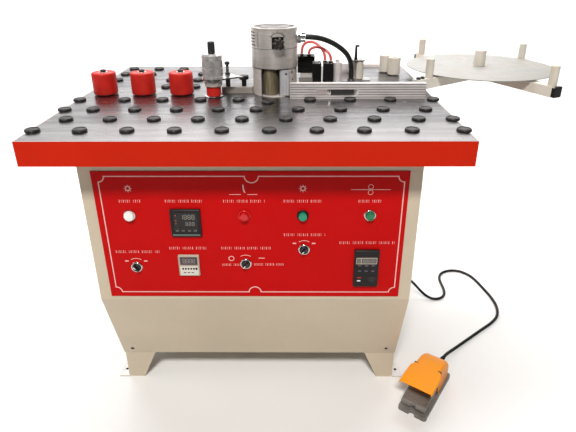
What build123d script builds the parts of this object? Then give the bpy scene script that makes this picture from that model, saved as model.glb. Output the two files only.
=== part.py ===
"""Semi-automatic edge banding machine with its tape tray and foot switch.

Millimetres.  +Z is up and the floor is Z = 0.  +X is the operator's right and the
operator stands on the -Y side.  The origin is the centre of the four floor bolt holes.
"""
import os
from math import atan2, cos, degrees, hypot, pi, radians, sin, tan

from build123d import *

os.makedirs("parts", exist_ok=True)

# ---------------------------------------------------------------- driving dimensions
table_width = 1000
table_depth = 850
table_height = 840
plate_thickness = 10
apron_height = 58
apron_wall = 4
table_front = -470
table_back = table_front + table_depth

cabinet_width = 828
sheet = 2
cabinet_front = -380
cabinet_back = 290
cabinet_top = table_height - plate_thickness
cabinet_bottom = 98
kink_height = 363
toe_front = -291

foot_plate = 4
foot_bolt_x = 427
foot_bolt_y = 263
foot_bolt_hole = 9
foot_flange = 92
flange_bolt_x = 370
flange_bolt_y = 240

panel_width = 766
panel_bottom = 374
panel_top = 735
panel_face = cabinet_front - sheet
panel_hole = 22.4

soft_gap = 0.3
running_gap = 0.05


def save(piece, name):
    """Label a finished piece and write it to its own file."""
    piece.part.label = name
    export_step(piece.part, f"parts/{name}.step")


def on_table(depth):
    """Y of a point that lies the given distance behind the table's front edge."""
    return table_front + depth


def above(height):
    """Z of a point the given height above the table top."""
    return table_height + height


def level(height):
    """Horizontal plane the given height above the table top."""
    return Plane.XY.offset(table_height + height)


def facing_front(x, y, z):
    """Vertical plane looking at the operator: local X is +X and local Y is +Z."""
    return Plane(origin=(x, y, z), x_dir=(1, 0, 0), z_dir=(0, -1, 0))


# ---------------------------------------------------------------- cabinet
cabinet_profile = [
    (cabinet_front, cabinet_top),
    (cabinet_front, kink_height),
    (toe_front, cabinet_bottom),
    (cabinet_back, cabinet_bottom),
    (cabinet_back, cabinet_top),
]
left_side = Plane.YZ.offset(-cabinet_width / 2)
cord_gland_y = on_table(560)
cord_gland_z = 120
mains_gland_x = -250
mains_gland_z = 170
gland_thread = 20

cover_width = cabinet_width - 20
cover_bottom = cabinet_bottom + 12
cover_height = cabinet_top - cabinet_bottom - 24
cover_thickness = 1.5
cover_screw_x = cover_width / 2 - 10
cover_screw_pitch = cover_height / 3 - 8
cover_screw_radius = 2.5
cover_middle = cover_bottom + cover_height / 2
bolt_radius = 4
bolt_clearance = 0.1
levelling_hole_at = (-385, 118)
levelling_hole_radius = 6
foot_flange_bolts = [
    (across * flange_bolt_x, along * flange_bolt_y) for across in (-1, 1) for along in (-1, 1)
]

with BuildPart() as cabinet_shell:
    with BuildSketch(left_side):
        Polygon(*cabinet_profile, align=None)
    extrude(amount=cabinet_width)
    with BuildSketch(left_side.offset(sheet)):
        Polygon(*cabinet_profile, align=None)
        offset(amount=-sheet, kind=Kind.INTERSECTION)
    extrude(amount=cabinet_width - 2 * sheet, mode=Mode.SUBTRACT)
    # Folded flanges stay round the open top and the open back.
    with BuildSketch(Plane.XY.offset(cabinet_top)):
        with Locations((0, (cabinet_front + cabinet_back) / 2)):
            Rectangle(cabinet_width - 50, cabinet_back - cabinet_front - 50)
    extrude(amount=-sheet, mode=Mode.SUBTRACT)
    with BuildSketch(facing_front(0, cabinet_back, (cabinet_top + cabinet_bottom) / 2)):
        Rectangle(cabinet_width - 60, cabinet_top - cabinet_bottom - 60)
    extrude(amount=sheet, mode=Mode.SUBTRACT)
    # Window behind the control panel, where the instruments reach inside.
    with BuildSketch(facing_front(0, cabinet_front, (panel_top + panel_bottom) / 2)):
        Rectangle(panel_width - 40, panel_top - panel_bottom - 40)
    extrude(amount=-sheet, mode=Mode.SUBTRACT)
    # Levelling hole low on the left of the sloping front, and the cord hole on the right side.
    with Locations(facing_front(levelling_hole_at[0], toe_front, levelling_hole_at[1])):
        Cylinder(levelling_hole_radius, 30, mode=Mode.SUBTRACT)
    with Locations(Plane(origin=(cabinet_width / 2, cord_gland_y, cord_gland_z), z_dir=(1, 0, 0))):
        Cylinder(gland_thread / 2, 6, mode=Mode.SUBTRACT)
    # Bolt holes for the feet, and screw holes for the rear cover.
    with BuildSketch(Plane.XY.offset(cabinet_bottom)):
        with Locations(*foot_flange_bolts):
            Circle(bolt_radius + bolt_clearance)
    extrude(amount=sheet, mode=Mode.SUBTRACT)
    with BuildSketch(facing_front(0, cabinet_back, cover_middle)):
        with GridLocations(2 * cover_screw_x, cover_screw_pitch, 2, 4):
            Circle(cover_screw_radius + bolt_clearance)
    extrude(amount=sheet, mode=Mode.SUBTRACT)
save(cabinet_shell, "cabinet_shell")

louvre_pitch = 18
louvre_x = 180
louvre_up = 190

with BuildPart() as rear_cover:
    with BuildSketch(facing_front(0, cabinet_back + cover_thickness, cover_middle)):
        RectangleRounded(cover_width, cover_height, 6)
        with Locations((-louvre_x, louvre_up), (louvre_x, louvre_up)):
            with GridLocations(1, louvre_pitch, 1, 8):
                SlotOverall(150, 6, mode=Mode.SUBTRACT)
        with GridLocations(2 * cover_screw_x, cover_screw_pitch, 2, 4):
            Circle(cover_screw_radius + bolt_clearance, mode=Mode.SUBTRACT)
        with Locations((mains_gland_x, mains_gland_z - cover_middle)):
            Circle(gland_thread / 2, mode=Mode.SUBTRACT)
    extrude(amount=cover_thickness)
save(rear_cover, "rear_cover")

# Four folded feet: a front or rear plate, a side plate, a top flange and an outward floor tab.
foot_outer = cabinet_width / 2 - 2
foot_inner_top = 320
foot_inner_bottom = 363
foot_tab_depth = 56
foot_face = -toe_front - 2

with BuildPart() as feet:
    for across in (-1, 1):
        for along in (-1, 1):
            plate_plane = facing_front(0, along * foot_face, 0)
            with BuildSketch(plate_plane):
                Polygon(
                    (across * foot_outer, 0),
                    (across * foot_inner_bottom, 0),
                    (across * foot_inner_top, cabinet_bottom),
                    (across * foot_outer, cabinet_bottom),
                    align=None,
                )
            extrude(amount=along * foot_plate)
            with BuildSketch(Plane.YZ.offset(across * foot_outer)):
                Polygon(
                    (along * foot_face, 0),
                    (along * (foot_face - foot_tab_depth + 2), 0),
                    (along * (foot_face - foot_flange), cabinet_bottom),
                    (along * foot_face, cabinet_bottom),
                    align=None,
                )
            extrude(amount=-across * foot_plate)
            with BuildSketch():
                with Locations((across * foot_bolt_x, along * foot_bolt_y)):
                    Rectangle(30, foot_tab_depth)
                    Circle(foot_bolt_hole / 2, mode=Mode.SUBTRACT)
            extrude(amount=foot_plate)
            with BuildSketch(Plane.XY.offset(cabinet_bottom)):
                with Locations(
                    (across * (foot_outer - foot_flange / 2), along * (foot_face - foot_flange / 2))
                ):
                    Rectangle(foot_flange, foot_flange)
                with Locations((across * flange_bolt_x, along * flange_bolt_y)):
                    Circle(bolt_radius + bolt_clearance, mode=Mode.SUBTRACT)
            extrude(amount=-foot_plate)
save(feet, "feet")

# ---------------------------------------------------------------- control panel
lamp_at = (-302, 618)
thermostat_at = (-164, 597)
cut_at = (-18, 617)
feed_at = (127, 617)
feeder_at = (293, 618)
power_at = (-303, 467)
counter_at = (-166, 473)
function_at = (-19, 477)
motor_at = (131, 520)
speed_at = (292, 465)
thermostat_size = 76
counter_width = 54
counter_height = 62
speed_width = 64
speed_height = 109
thermostat_hole = 68
counter_hole = 46
speed_hole = (54, 96)
box_gap = 0.5
round_controls = [lamp_at, cut_at, feed_at, feeder_at, power_at, function_at, motor_at]
bezel_controls = [cut_at, feed_at, feeder_at, power_at, function_at, motor_at]

with BuildPart() as control_panel:
    with BuildSketch(facing_front(0, panel_face, 0)):
        with Locations((0, (panel_top + panel_bottom) / 2)):
            Rectangle(panel_width, panel_top - panel_bottom)
        with Locations(*round_controls):
            Circle(panel_hole / 2, mode=Mode.SUBTRACT)
        with Locations(thermostat_at):
            Rectangle(thermostat_hole, thermostat_hole, mode=Mode.SUBTRACT)
        with Locations(counter_at):
            Rectangle(counter_hole, counter_hole, mode=Mode.SUBTRACT)
        with Locations(speed_at):
            Rectangle(*speed_hole, mode=Mode.SUBTRACT)
    extrude(amount=-sheet)
save(control_panel, "control_panel")

bezel_outer = 29.5
bezel_height = 5
button_radius = 10.5
barrel_length = 32
barrel_radius = 11
barrel_wall = 2.7
clamp_ring_radius = 15
clamp_ring_length = 4
stem_radius = 4
stem_length = 16

with BuildPart() as button_bezels:
    for x, z in bezel_controls:
        with BuildSketch(facing_front(x, panel_face, z)):
            Circle(bezel_outer / 2)
            Circle(button_radius + soft_gap, mode=Mode.SUBTRACT)
        extrude(amount=bezel_height)
        with BuildSketch(facing_front(x, panel_face, z)):
            Circle(barrel_radius)
            Circle(button_radius - barrel_wall, mode=Mode.SUBTRACT)
        extrude(amount=-barrel_length)
        with BuildSketch(facing_front(x, panel_face + sheet + 0.2, z)):
            Circle(clamp_ring_radius)
            Circle(barrel_radius, mode=Mode.SUBTRACT)
        extrude(amount=-clamp_ring_length)
save(button_bezels, "button_bezels")

button_depth = 3.5
button_travel = 4


def push_button(place, stands):
    """Round cap guided in its bezel, with a stem that reaches the contact block."""
    x, z = place
    back = facing_front(x, panel_face - button_travel - 0.5, z)
    with BuildPart() as button:
        with BuildSketch(back):
            Circle(button_radius)
        extrude(amount=stands)
        fillet(edges().group_by(Axis.Y)[0], 1)
        with BuildSketch(back):
            Circle(stem_radius)
        extrude(amount=-stem_length)
    return button


cut_button = push_button(cut_at, 5)
feed_motor_button = push_button(feed_at, button_depth)
feeder_button = push_button(feeder_at, button_depth)
save(cut_button, "cut_button")
save(feed_motor_button, "feed_motor_button")
save(feeder_button, "feeder_button")

selector_length = 18
selector_disc = 6
finger_bar_width = 6.5
finger_bar_stands = 8


def selector(place, rest_angle):
    """Round rotary switch: a disc with a raised finger bar and a stem behind it."""
    x, z = place
    face = facing_front(x, panel_face - 1, z)
    with BuildPart() as switch:
        with BuildSketch(face):
            Circle(button_radius)
        extrude(amount=selector_disc)
        with BuildSketch(face.offset(selector_disc)):
            Circle(button_radius - 0.6)
            Rectangle(3 * button_radius, finger_bar_width, rotation=rest_angle, mode=Mode.INTERSECT)
        extrude(amount=finger_bar_stands)
        with BuildSketch(face):
            Circle(stem_radius)
        extrude(amount=-selector_length)
    return switch


power_selector = selector(power_at, 135)
function_selector = selector(function_at, 45)
motor_selector = selector(motor_at, 45)
save(power_selector, "power_selector")
save(function_selector, "function_selector")
save(motor_selector, "motor_selector")

with BuildPart() as power_lamp:
    with BuildSketch(facing_front(lamp_at[0], panel_face, lamp_at[1])):
        Circle(bezel_outer / 2)
    extrude(amount=4)
    with BuildSketch(facing_front(lamp_at[0], panel_face - 4, lamp_at[1])):
        Circle(12.5)
    extrude(amount=9)
    fillet(edges().filter_by(GeomType.CIRCLE).group_by(Axis.Y)[0], 2)
    with BuildSketch(facing_front(lamp_at[0], panel_face, lamp_at[1])):
        Circle(barrel_radius)
    extrude(amount=-barrel_length)
save(power_lamp, "power_lamp")

with BuildPart() as temperature_controller:
    with BuildSketch(facing_front(thermostat_at[0], panel_face, thermostat_at[1])):
        RectangleRounded(thermostat_size, thermostat_size, 2)
    extrude(amount=7)
    chamfer(faces().sort_by(Axis.Y)[0].edges(), 1.5)
    with BuildSketch(facing_front(thermostat_at[0], panel_face - 7, thermostat_at[1] + 9)):
        Rectangle(60, 44)
    extrude(amount=-1, mode=Mode.SUBTRACT)
    with BuildSketch(facing_front(thermostat_at[0], panel_face, thermostat_at[1])):
        Rectangle(thermostat_hole - 2 * box_gap, thermostat_hole - 2 * box_gap)
    extrude(amount=-75)
save(temperature_controller, "temperature_controller")

with BuildPart() as counter:
    with BuildSketch(facing_front(counter_at[0], panel_face, counter_at[1])):
        RectangleRounded(counter_width, counter_height, 2)
    extrude(amount=6)
    chamfer(faces().sort_by(Axis.Y)[0].edges(), 1.2)
    with BuildSketch(facing_front(counter_at[0], panel_face - 6, counter_at[1] + 13)):
        Rectangle(46, 24)
    extrude(amount=-1, mode=Mode.SUBTRACT)
    with BuildSketch(facing_front(counter_at[0], panel_face, counter_at[1])):
        Rectangle(counter_hole - 2 * box_gap, counter_hole - 2 * box_gap)
    extrude(amount=-60)
save(counter, "counter")

with BuildPart() as speed_controller:
    with BuildSketch(facing_front(speed_at[0], panel_face, speed_at[1])):
        RectangleRounded(speed_width, speed_height, 2)
    extrude(amount=8)
    chamfer(faces().sort_by(Axis.Y)[0].edges(), 1.5)
    with BuildSketch(facing_front(speed_at[0], panel_face - 8, speed_at[1] + 24)):
        Rectangle(50, 16)
    extrude(amount=-1, mode=Mode.SUBTRACT)
    with BuildSketch(facing_front(speed_at[0], panel_face, speed_at[1])):
        Rectangle(speed_hole[0] - 2 * box_gap, speed_hole[1] - 2 * box_gap)
    extrude(amount=-90)
save(speed_controller, "speed_controller")

# ---------------------------------------------------------------- table
# Stations on the table: X, and Y from the table's front edge where on_table() is used.
press_x = [-442, -331, -220]
press_y = on_table(427)
drive_at = (-123, on_table(399))
adjuster_at = (-88, on_table(450))
clamp_at = (-41, on_table(452))
pot_at = (50, on_table(450))
glue_roller_at = (39.5, on_table(414))
feeder_roller_at = (318, on_table(615))
guide_front_at = (443.5, on_table(695))
guide_rear_at = (421.5, on_table(742))
conduit_drop_at = (286, on_table(566))
table_screws_at = [
    (-416, on_table(334)),
    (409, on_table(331)),
    (-350, on_table(760)),
    (400, on_table(800)),
]
table_screw_radius = 6
table_screw_depth = 4
drive_shaft_radius = 10
glue_shaft_radius = 6
feeder_shaft_radius = 5

# Tape tray: the long arm runs from the table's right edge under the disc.
tray_centre = (714, on_table(655))
tray_angle = 36.5
cross_angle = -65.5
arm_size = 30
arm_overhang = 22
post_near_left = 248
post_far_right = 249
post_near_right = 287
post_far_left = 300
tray_reach_in = 306
tray_axis = Vector(cos(radians(tray_angle)), sin(radians(tray_angle)), 0)
tray_bolts_at = [
    (tray_centre[0] - reach * tray_axis.X, tray_centre[1] - reach * tray_axis.Y)
    for reach in (tray_reach_in - 10, tray_reach_in - 28)
]

press_radius = 34
press_height = 62
press_washer = 2
axle_radius = 6

with BuildPart() as table_top:
    with BuildSketch(level(-plate_thickness)):
        with Locations((0, table_front + table_depth / 2)):
            Rectangle(table_width - 2 * apron_wall - 1, table_depth - 2 * apron_wall - 1)
        with Locations(*[(x, press_y) for x in press_x], guide_front_at, guide_rear_at):
            Circle(bolt_radius + bolt_clearance, mode=Mode.SUBTRACT)
        with Locations(drive_at):
            Circle(drive_shaft_radius + running_gap, mode=Mode.SUBTRACT)
        with Locations(glue_roller_at):
            Circle(glue_shaft_radius + running_gap, mode=Mode.SUBTRACT)
        with Locations(feeder_roller_at):
            Circle(feeder_shaft_radius + running_gap, mode=Mode.SUBTRACT)
        with Locations(conduit_drop_at):
            Circle(gland_thread / 2, mode=Mode.SUBTRACT)
        with Locations(*tray_bolts_at):
            Circle(bolt_radius + bolt_clearance, mode=Mode.SUBTRACT)
    extrude(amount=plate_thickness)
    with BuildSketch(level(0)):
        with Locations(*table_screws_at):
            Circle(table_screw_radius + bolt_clearance)
    extrude(amount=-table_screw_depth, mode=Mode.SUBTRACT)
save(table_top, "table_top")

with BuildPart() as table_frame:
    with BuildSketch(level(-apron_height)):
        with Locations((0, table_front + table_depth / 2)):
            Rectangle(table_width, table_depth)
            Rectangle(table_width - 2 * apron_wall, table_depth - 2 * apron_wall, mode=Mode.SUBTRACT)
    extrude(amount=apron_height)
    # Ledge that carries the plate, and a return lip along the bottom.
    with BuildSketch(level(-plate_thickness - apron_wall)):
        with Locations((0, table_front + table_depth / 2)):
            Rectangle(table_width - 2, table_depth - 2)
            Rectangle(table_width - 60, table_depth - 60, mode=Mode.SUBTRACT)
    extrude(amount=apron_wall - 0.2)
    with BuildSketch(level(-apron_height)):
        with Locations((0, table_front + table_depth / 2)):
            Rectangle(table_width - 2, table_depth - 2)
            Rectangle(table_width - 40, table_depth - 40, mode=Mode.SUBTRACT)
    extrude(amount=apron_wall)
save(table_frame, "table_frame")

# Hard plastic sliding buttons in staggered rows.  Each run gives its depth behind the table's
# front edge, the X of its first button, how many there are and their pitch.
button_reach = 490
button_rows = [
    (72, -button_reach, 1, 0),
    (72, -382, 8, 107.8),
    (72, button_reach, 1, 0),
    (161, -450, 9, 107.2),
    (161, button_reach, 1, 0),
    (249, -button_reach, 1, 0),
    (249, -416, 4, 108.3),
    (249, 7, 5, 109.6),
    (323, 34, 1, 0),
    (349, -button_reach, 1, 0),
    (349, -365, 4, 105.5),
    (349, 150, 3, 111),
    (349, button_reach, 1, 0),
    (510, -372, 3, 87),
    (607, -466, 4, 87),
    (700, -469, 4, 88),
    (792, -466, 3, 89),
]
slide_button_radius = 17
slide_button_height = 7

with BuildPart() as support_buttons:
    for depth, first_x, count, pitch in button_rows:
        for number in range(count):
            button_x = first_x + number * pitch
            with BuildSketch(Plane((button_x, on_table(depth), table_height))):
                Circle(slide_button_radius)
            extrude(amount=slide_button_height, taper=6)
save(support_buttons, "support_buttons")

# ---------------------------------------------------------------- press rollers


def standing_roller(place, low, radius, height, bore, rounding):
    """Roller that turns on a shoulder bolt standing on the table."""
    with BuildPart() as roller:
        with BuildSketch(Plane((*place, above(low)))):
            Circle(radius)
            Circle(bore, mode=Mode.SUBTRACT)
        extrude(amount=height)
        outer_edges = edges().filter_by(GeomType.CIRCLE).filter_by(lambda e: e.radius > bore + 1)
        fillet(outer_edges, rounding)
    return roller


press_low = press_washer + soft_gap
press_bore = axle_radius + running_gap
for place_name, roller_x in zip(["left", "middle", "right"], press_x):
    roller_at = (roller_x, press_y)
    press_roller = standing_roller(roller_at, press_low, press_radius, press_height, press_bore, 3)
    save(press_roller, f"press_roller_{place_name}")

# ---------------------------------------------------------------- drive roller and its arm
drive_flange_radius = 27.5
drive_roller_radius = 20.5
drive_roller_low = 4
drive_roller_high = 30
drive_collar_high = 47
drive_collar_radius = 25.5
arm_low = 48
arm_thickness = 4
housing_high = 120
housing_radius = 29
cap_stem_radius = 8
cap_radius = 10
cap_height = 32
pulley_low = -52
pulley_height = 14
pulley_radius = 25

with BuildPart() as drive_shaft:
    # Pulley below the table, shaft through it, base flange, roller seat and knurled collar.
    with BuildSketch(Plane((*drive_at, above(pulley_low)))):
        Circle(pulley_radius)
    extrude(amount=pulley_height)
    with BuildSketch(Plane((*drive_at, above(pulley_low)))):
        Circle(drive_shaft_radius)
    extrude(amount=drive_collar_high - pulley_low)
    with BuildSketch(Plane((*drive_at, above(soft_gap)))):
        Circle(drive_flange_radius)
    extrude(amount=drive_roller_low - 2 * soft_gap)
    with BuildSketch(Plane((*drive_at, above(drive_roller_high + soft_gap)))):
        Circle(drive_collar_radius)
    extrude(amount=drive_collar_high - drive_roller_high - soft_gap)
save(drive_shaft, "drive_shaft")

with BuildPart() as drive_roller:
    with BuildSketch(Plane((*drive_at, above(drive_roller_low)))):
        Circle(drive_roller_radius)
        Circle(drive_shaft_radius, mode=Mode.SUBTRACT)
    extrude(amount=drive_roller_high - drive_roller_low)
save(drive_roller, "drive_roller")

with BuildPart() as pressure_arm:
    # Bright plate from the drive axis back to the adjusting screw, with a hooked tip.
    with BuildSketch(level(arm_low)):
        with Locations(drive_at):
            Circle(31)
        with Locations(adjuster_at):
            Circle(12)
        with BuildLine():
            Polyline(
                (drive_at[0] - 10, drive_at[1] + 29),
                (adjuster_at[0] - 6, adjuster_at[1] + 11),
                (adjuster_at[0] + 10, adjuster_at[1] + 8),
                (clamp_at[0] - 8, clamp_at[1] - 24),
                (clamp_at[0] + 2, clamp_at[1] - 36),
                (clamp_at[0] - 14, clamp_at[1] - 38),
                (drive_at[0] + 26, drive_at[1] - 15),
                close=True,
            )
        make_face()
        with Locations(adjuster_at):
            Circle(4.2, mode=Mode.SUBTRACT)
    extrude(amount=arm_thickness)
save(pressure_arm, "pressure_arm")

with BuildPart() as bearing_housing:
    with BuildSketch(Plane((*drive_at, above(arm_low + arm_thickness)))):
        Circle(housing_radius)
    extrude(amount=housing_high - arm_low - arm_thickness)
    chamfer(faces().sort_by(Axis.Z)[-1].edges(), 4)
    with BuildSketch(Plane((*drive_at, above(housing_high)))):
        Circle(cap_stem_radius + bolt_clearance)
    extrude(amount=-30, mode=Mode.SUBTRACT)
    # Shallow groove round the housing.
    with BuildSketch(Plane((*drive_at, above(housing_high - 16)))):
        Circle(housing_radius + 2)
        Circle(housing_radius - 1, mode=Mode.SUBTRACT)
    extrude(amount=2, mode=Mode.SUBTRACT)
save(bearing_housing, "bearing_housing")

with BuildPart() as spindle_cap:
    with BuildSketch(Plane((*drive_at, above(housing_high - 24)))):
        Circle(cap_stem_radius)
    extrude(amount=30)
    with BuildSketch(Plane((*drive_at, above(housing_high + soft_gap)))):
        Circle(cap_radius)
    extrude(amount=cap_height)
    fillet(faces().sort_by(Axis.Z)[-1].edges(), 1.5)
    with BuildSketch(Plane((*drive_at, above(housing_high + soft_gap + cap_height)))):
        RegularPolygon(5, 6)
    extrude(amount=-8, mode=Mode.SUBTRACT)
save(spindle_cap, "spindle_cap")

block_height = 18
block_left = -106
block_right = -15

with BuildPart() as arm_block:
    with BuildSketch(level(0)):
        with Locations(((block_left + block_right) / 2, on_table(452))):
            RectangleRounded(block_right - block_left, 34, 4)
        with Locations(clamp_at):
            Circle(5.1, mode=Mode.SUBTRACT)
        with Locations(adjuster_at):
            Circle(4, mode=Mode.SUBTRACT)
    extrude(amount=block_height)
    chamfer(faces().sort_by(Axis.Z)[-1].edges().filter_by(GeomType.LINE), 1.5)
save(arm_block, "arm_block")

with BuildPart() as clamp_knob:
    with BuildSketch(Plane((*clamp_at, above(2)))):
        Circle(5)
    extrude(amount=block_height)
    with BuildSketch(Plane((*clamp_at, above(block_height + soft_gap)))):
        Circle(7)
    extrude(amount=20)
    with BuildSketch(Plane((*clamp_at, above(37)))):
        Circle(14)
    extrude(amount=12)
    fillet(faces().sort_by(Axis.Z)[-1].edges(), 3)
save(clamp_knob, "clamp_knob")

# ---------------------------------------------------------------- glue pot
pot_radius = 66
body_radius = 63.5
body_high = 78
ring_high = 132
cap_high = 182
lid_thickness = 5
glue_roller_radius = 22
glue_roller_low = 5
glue_roller_high = 74
window_left = 15
window_right = 64
scraper_left = window_right + 1
scraper_right = 92
scraper_high = 75
knob_angle = -80
knob_height = 149
knob_stand = 8
knob_thickness = 18

with BuildPart() as glue_pot_body:
    with BuildSketch(Plane((*pot_at, table_height))):
        Circle(body_radius)
    extrude(amount=body_high)
    # Tall window in front, where the glue roller meets the tape.
    with BuildSketch(level(3)):
        with Locations((window_left, on_table(374))):
            Rectangle(scraper_right - window_left + box_gap, 42, align=(Align.MIN, Align.MIN))
        with Locations(glue_roller_at):
            Circle(glue_roller_radius + 1.5)
    extrude(amount=body_high - 3, mode=Mode.SUBTRACT)
    with Locations(Plane((*glue_roller_at, table_height))):
        Cylinder(glue_shaft_radius + running_gap, 20, mode=Mode.SUBTRACT)
save(glue_pot_body, "glue_pot_body")

with BuildPart() as heater_ring:
    with BuildSketch(Plane((*pot_at, above(body_high)))):
        Circle(pot_radius)
        Circle(48, mode=Mode.SUBTRACT)
    extrude(amount=ring_high - body_high - 0.5)
    fillet(faces().sort_by(Axis.Z)[0].edges().sort_by(SortBy.RADIUS)[-1], 1.5)
save(heater_ring, "heater_ring")

pot_gland_height = 157
cap_wall = 8
air_groove_angle = -131
air_slot_angle = -156
air_slot_width = 30
air_slot_count = 5


def pot_side(angle, height):
    """Plane that touches the pot's side at an angle round it, facing outwards with Y up."""
    turn = radians(angle)
    return Plane(
        origin=(
            pot_at[0] + pot_radius * cos(turn),
            pot_at[1] + pot_radius * sin(turn),
            above(height),
        ),
        x_dir=(-sin(turn), cos(turn), 0),
        z_dir=(cos(turn), sin(turn), 0),
    )


knob_plane = pot_side(knob_angle, knob_height)

with BuildPart() as glue_pot_cap:
    with BuildSketch(Plane((*pot_at, above(ring_high)))):
        Circle(pot_radius)
        Circle(pot_radius - cap_wall, mode=Mode.SUBTRACT)
    extrude(amount=cap_high - ring_high)
    # Square pocket behind the knob, an upright groove and air slots on the left, and the gland hole
    # on the right.
    with BuildSketch(knob_plane.offset(2)):
        Rectangle(33, 32)
    extrude(amount=-8, mode=Mode.SUBTRACT)
    with BuildSketch(pot_side(air_groove_angle, 157).offset(2)):
        Rectangle(2.6, 42)
    extrude(amount=-6, mode=Mode.SUBTRACT)
    with BuildSketch(pot_side(air_slot_angle, 157).offset(2)):
        with GridLocations(1, 8.5, 1, air_slot_count):
            Rectangle(air_slot_width, 3)
    extrude(amount=-18, mode=Mode.SUBTRACT)
    with BuildSketch(Plane(origin=(pot_at[0], pot_at[1], above(pot_gland_height)), z_dir=(1, 0, 0))):
        Circle(gland_thread / 2)
    extrude(amount=80, mode=Mode.SUBTRACT)
save(glue_pot_cap, "glue_pot_cap")

with BuildPart() as pot_lid:
    with BuildSketch(Plane((*pot_at, above(cap_high + soft_gap)))):
        Circle(pot_radius - 0.5)
    extrude(amount=lid_thickness)
    chamfer(faces().sort_by(Axis.Z)[-1].edges(), 1)
    with BuildSketch(Plane((*pot_at, above(cap_high - 5)))):
        Circle(pot_radius - cap_wall - soft_gap)
        Circle(pot_radius - cap_wall - 5, mode=Mode.SUBTRACT)
    extrude(amount=5.5)
save(pot_lid, "pot_lid")

with BuildPart() as glue_roller:
    with BuildSketch(Plane((*glue_roller_at, above(glue_roller_low)))):
        Circle(glue_roller_radius)
        Circle(glue_shaft_radius, mode=Mode.SUBTRACT)
    extrude(amount=glue_roller_high - glue_roller_low)
save(glue_roller, "glue_roller")

with BuildPart() as glue_shaft:
    # The gear motor drives this shaft; its pulley passes the motion on to the drive shaft.
    with BuildSketch(Plane((*glue_roller_at, above(-62)))):
        Circle(glue_shaft_radius)
    extrude(amount=62 + glue_roller_high - 2)
    with BuildSketch(Plane((*glue_roller_at, above(pulley_low)))):
        Circle(pulley_radius)
    extrude(amount=pulley_height)
save(glue_shaft, "glue_shaft")

with BuildPart() as scraper_block:
    # Steel doctor block beside the roller that meters the glue film.
    with BuildSketch(level(3.5)):
        with Locations((scraper_left, on_table(392))):
            Rectangle(scraper_right - scraper_left, 20, align=(Align.MIN, Align.MIN))
    extrude(amount=scraper_high - 3.5)
    chamfer(edges().filter_by(Axis.Z).group_by(Axis.Y)[0], 2)
    with BuildSketch(facing_front((scraper_left + scraper_right) / 2 + 5, on_table(392), above(64))):
        Circle(3.5)
    extrude(amount=-10, mode=Mode.SUBTRACT)
save(scraper_block, "scraper_block")

with BuildPart() as flow_knob:
    # Star knob on a stem that sets the glue film.
    with BuildSketch(knob_plane.offset(knob_stand)):
        Circle(12)
        with PolarLocations(12, 7):
            Circle(4.8)
    extrude(amount=knob_thickness)
    fillet(faces().sort_by(Axis.Y)[0].edges(), 1.2)
    with BuildSketch(knob_plane.offset(knob_stand)):
        Circle(4)
    extrude(amount=-13.5)
save(flow_knob, "flow_knob")

# Corrugated conduit from the pot's gland down through the table, held at both ends.
conduit_radius = 7.5
gland_face_x = 138
conduit_points = [
    (gland_face_x, on_table(450), above(pot_gland_height)),
    (168, on_table(450), above(pot_gland_height)),
    (208, on_table(466), above(143)),
    (246, on_table(496), above(118)),
    (273, on_table(530), above(88)),
    (286, on_table(566), above(48)),
    (286, on_table(566), above(14)),
]


def corner_radii(points, share=0.45):
    """Largest bend at each corner that its two straight runs leave room for."""
    radii = []
    for before, corner, after in zip(points, points[1:], points[2:]):
        arriving = Vector(*corner) - Vector(*before)
        leaving = Vector(*after) - Vector(*corner)
        turn = radians(arriving.get_angle(leaving))
        shorter = min(arriving.length, leaving.length)
        radii.append(share * shorter / tan(turn / 2))
    return radii


conduit_radii = corner_radii(conduit_points)
with BuildPart() as pot_conduit:
    with BuildLine():
        FilletPolyline(*conduit_points, radius=conduit_radii)
    first_run = Vector(*conduit_points[1]) - Vector(*conduit_points[0])
    with BuildSketch(Plane(origin=conduit_points[0], z_dir=first_run)):
        Circle(conduit_radius)
    sweep()
save(pot_conduit, "pot_conduit")

# ---------------------------------------------------------------- fence and tape cutter
fence_left = 94
fence_right = 473
fence_front = on_table(368)
fence_depth = 16
fence_height = 43
fence_wall = 6
flange_thickness = 4
groove_pitch = 7
window_low = 7
window_high = 25.5

with BuildPart() as fence:
    # Aluminium channel: a grooved front wall with a flange along its top and its bottom.
    with BuildSketch(Plane.YZ.offset(fence_left)):
        with Locations((fence_front, table_height)):
            Rectangle(fence_depth, fence_height, align=(Align.MIN, Align.MIN))
        with Locations((fence_front + fence_wall, above(flange_thickness))):
            Rectangle(
                fence_depth,
                fence_height - 2 * flange_thickness,
                align=(Align.MIN, Align.MIN),
                mode=Mode.SUBTRACT,
            )
        with Locations((fence_front, above(fence_height / 2))):
            with GridLocations(1, groove_pitch, 1, 6):
                Rectangle(3, 2.4, mode=Mode.SUBTRACT)
    extrude(amount=fence_right - fence_left)
    with BuildSketch(facing_front(0, fence_front, table_height)):
        Polygon((167, window_low), (276, window_low), (284, window_high), (167, window_high), align=None)
    extrude(amount=-fence_wall, mode=Mode.SUBTRACT)
save(fence, "fence")

clamp_block = (160, 186)
cutter_block = (192, 221)
cylinder_front = on_table(460)
cylinder_back = on_table(502)
cylinder_top = 80
valve_left = 117
valve_right = 168
valve_front = on_table(514)
valve_back = on_table(556)
valve_low = 43
valve_top = 92
base_plate = 6
blade_x = 206.5
rod_radius = 5
rod_height = 22
fitting_height = 5
fitting_radius = 5.5
valve_ports = [(129, on_table(532)), (151, on_table(524))]
cylinder_ports = [(197, on_table(484)), (214, on_table(478))]

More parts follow.
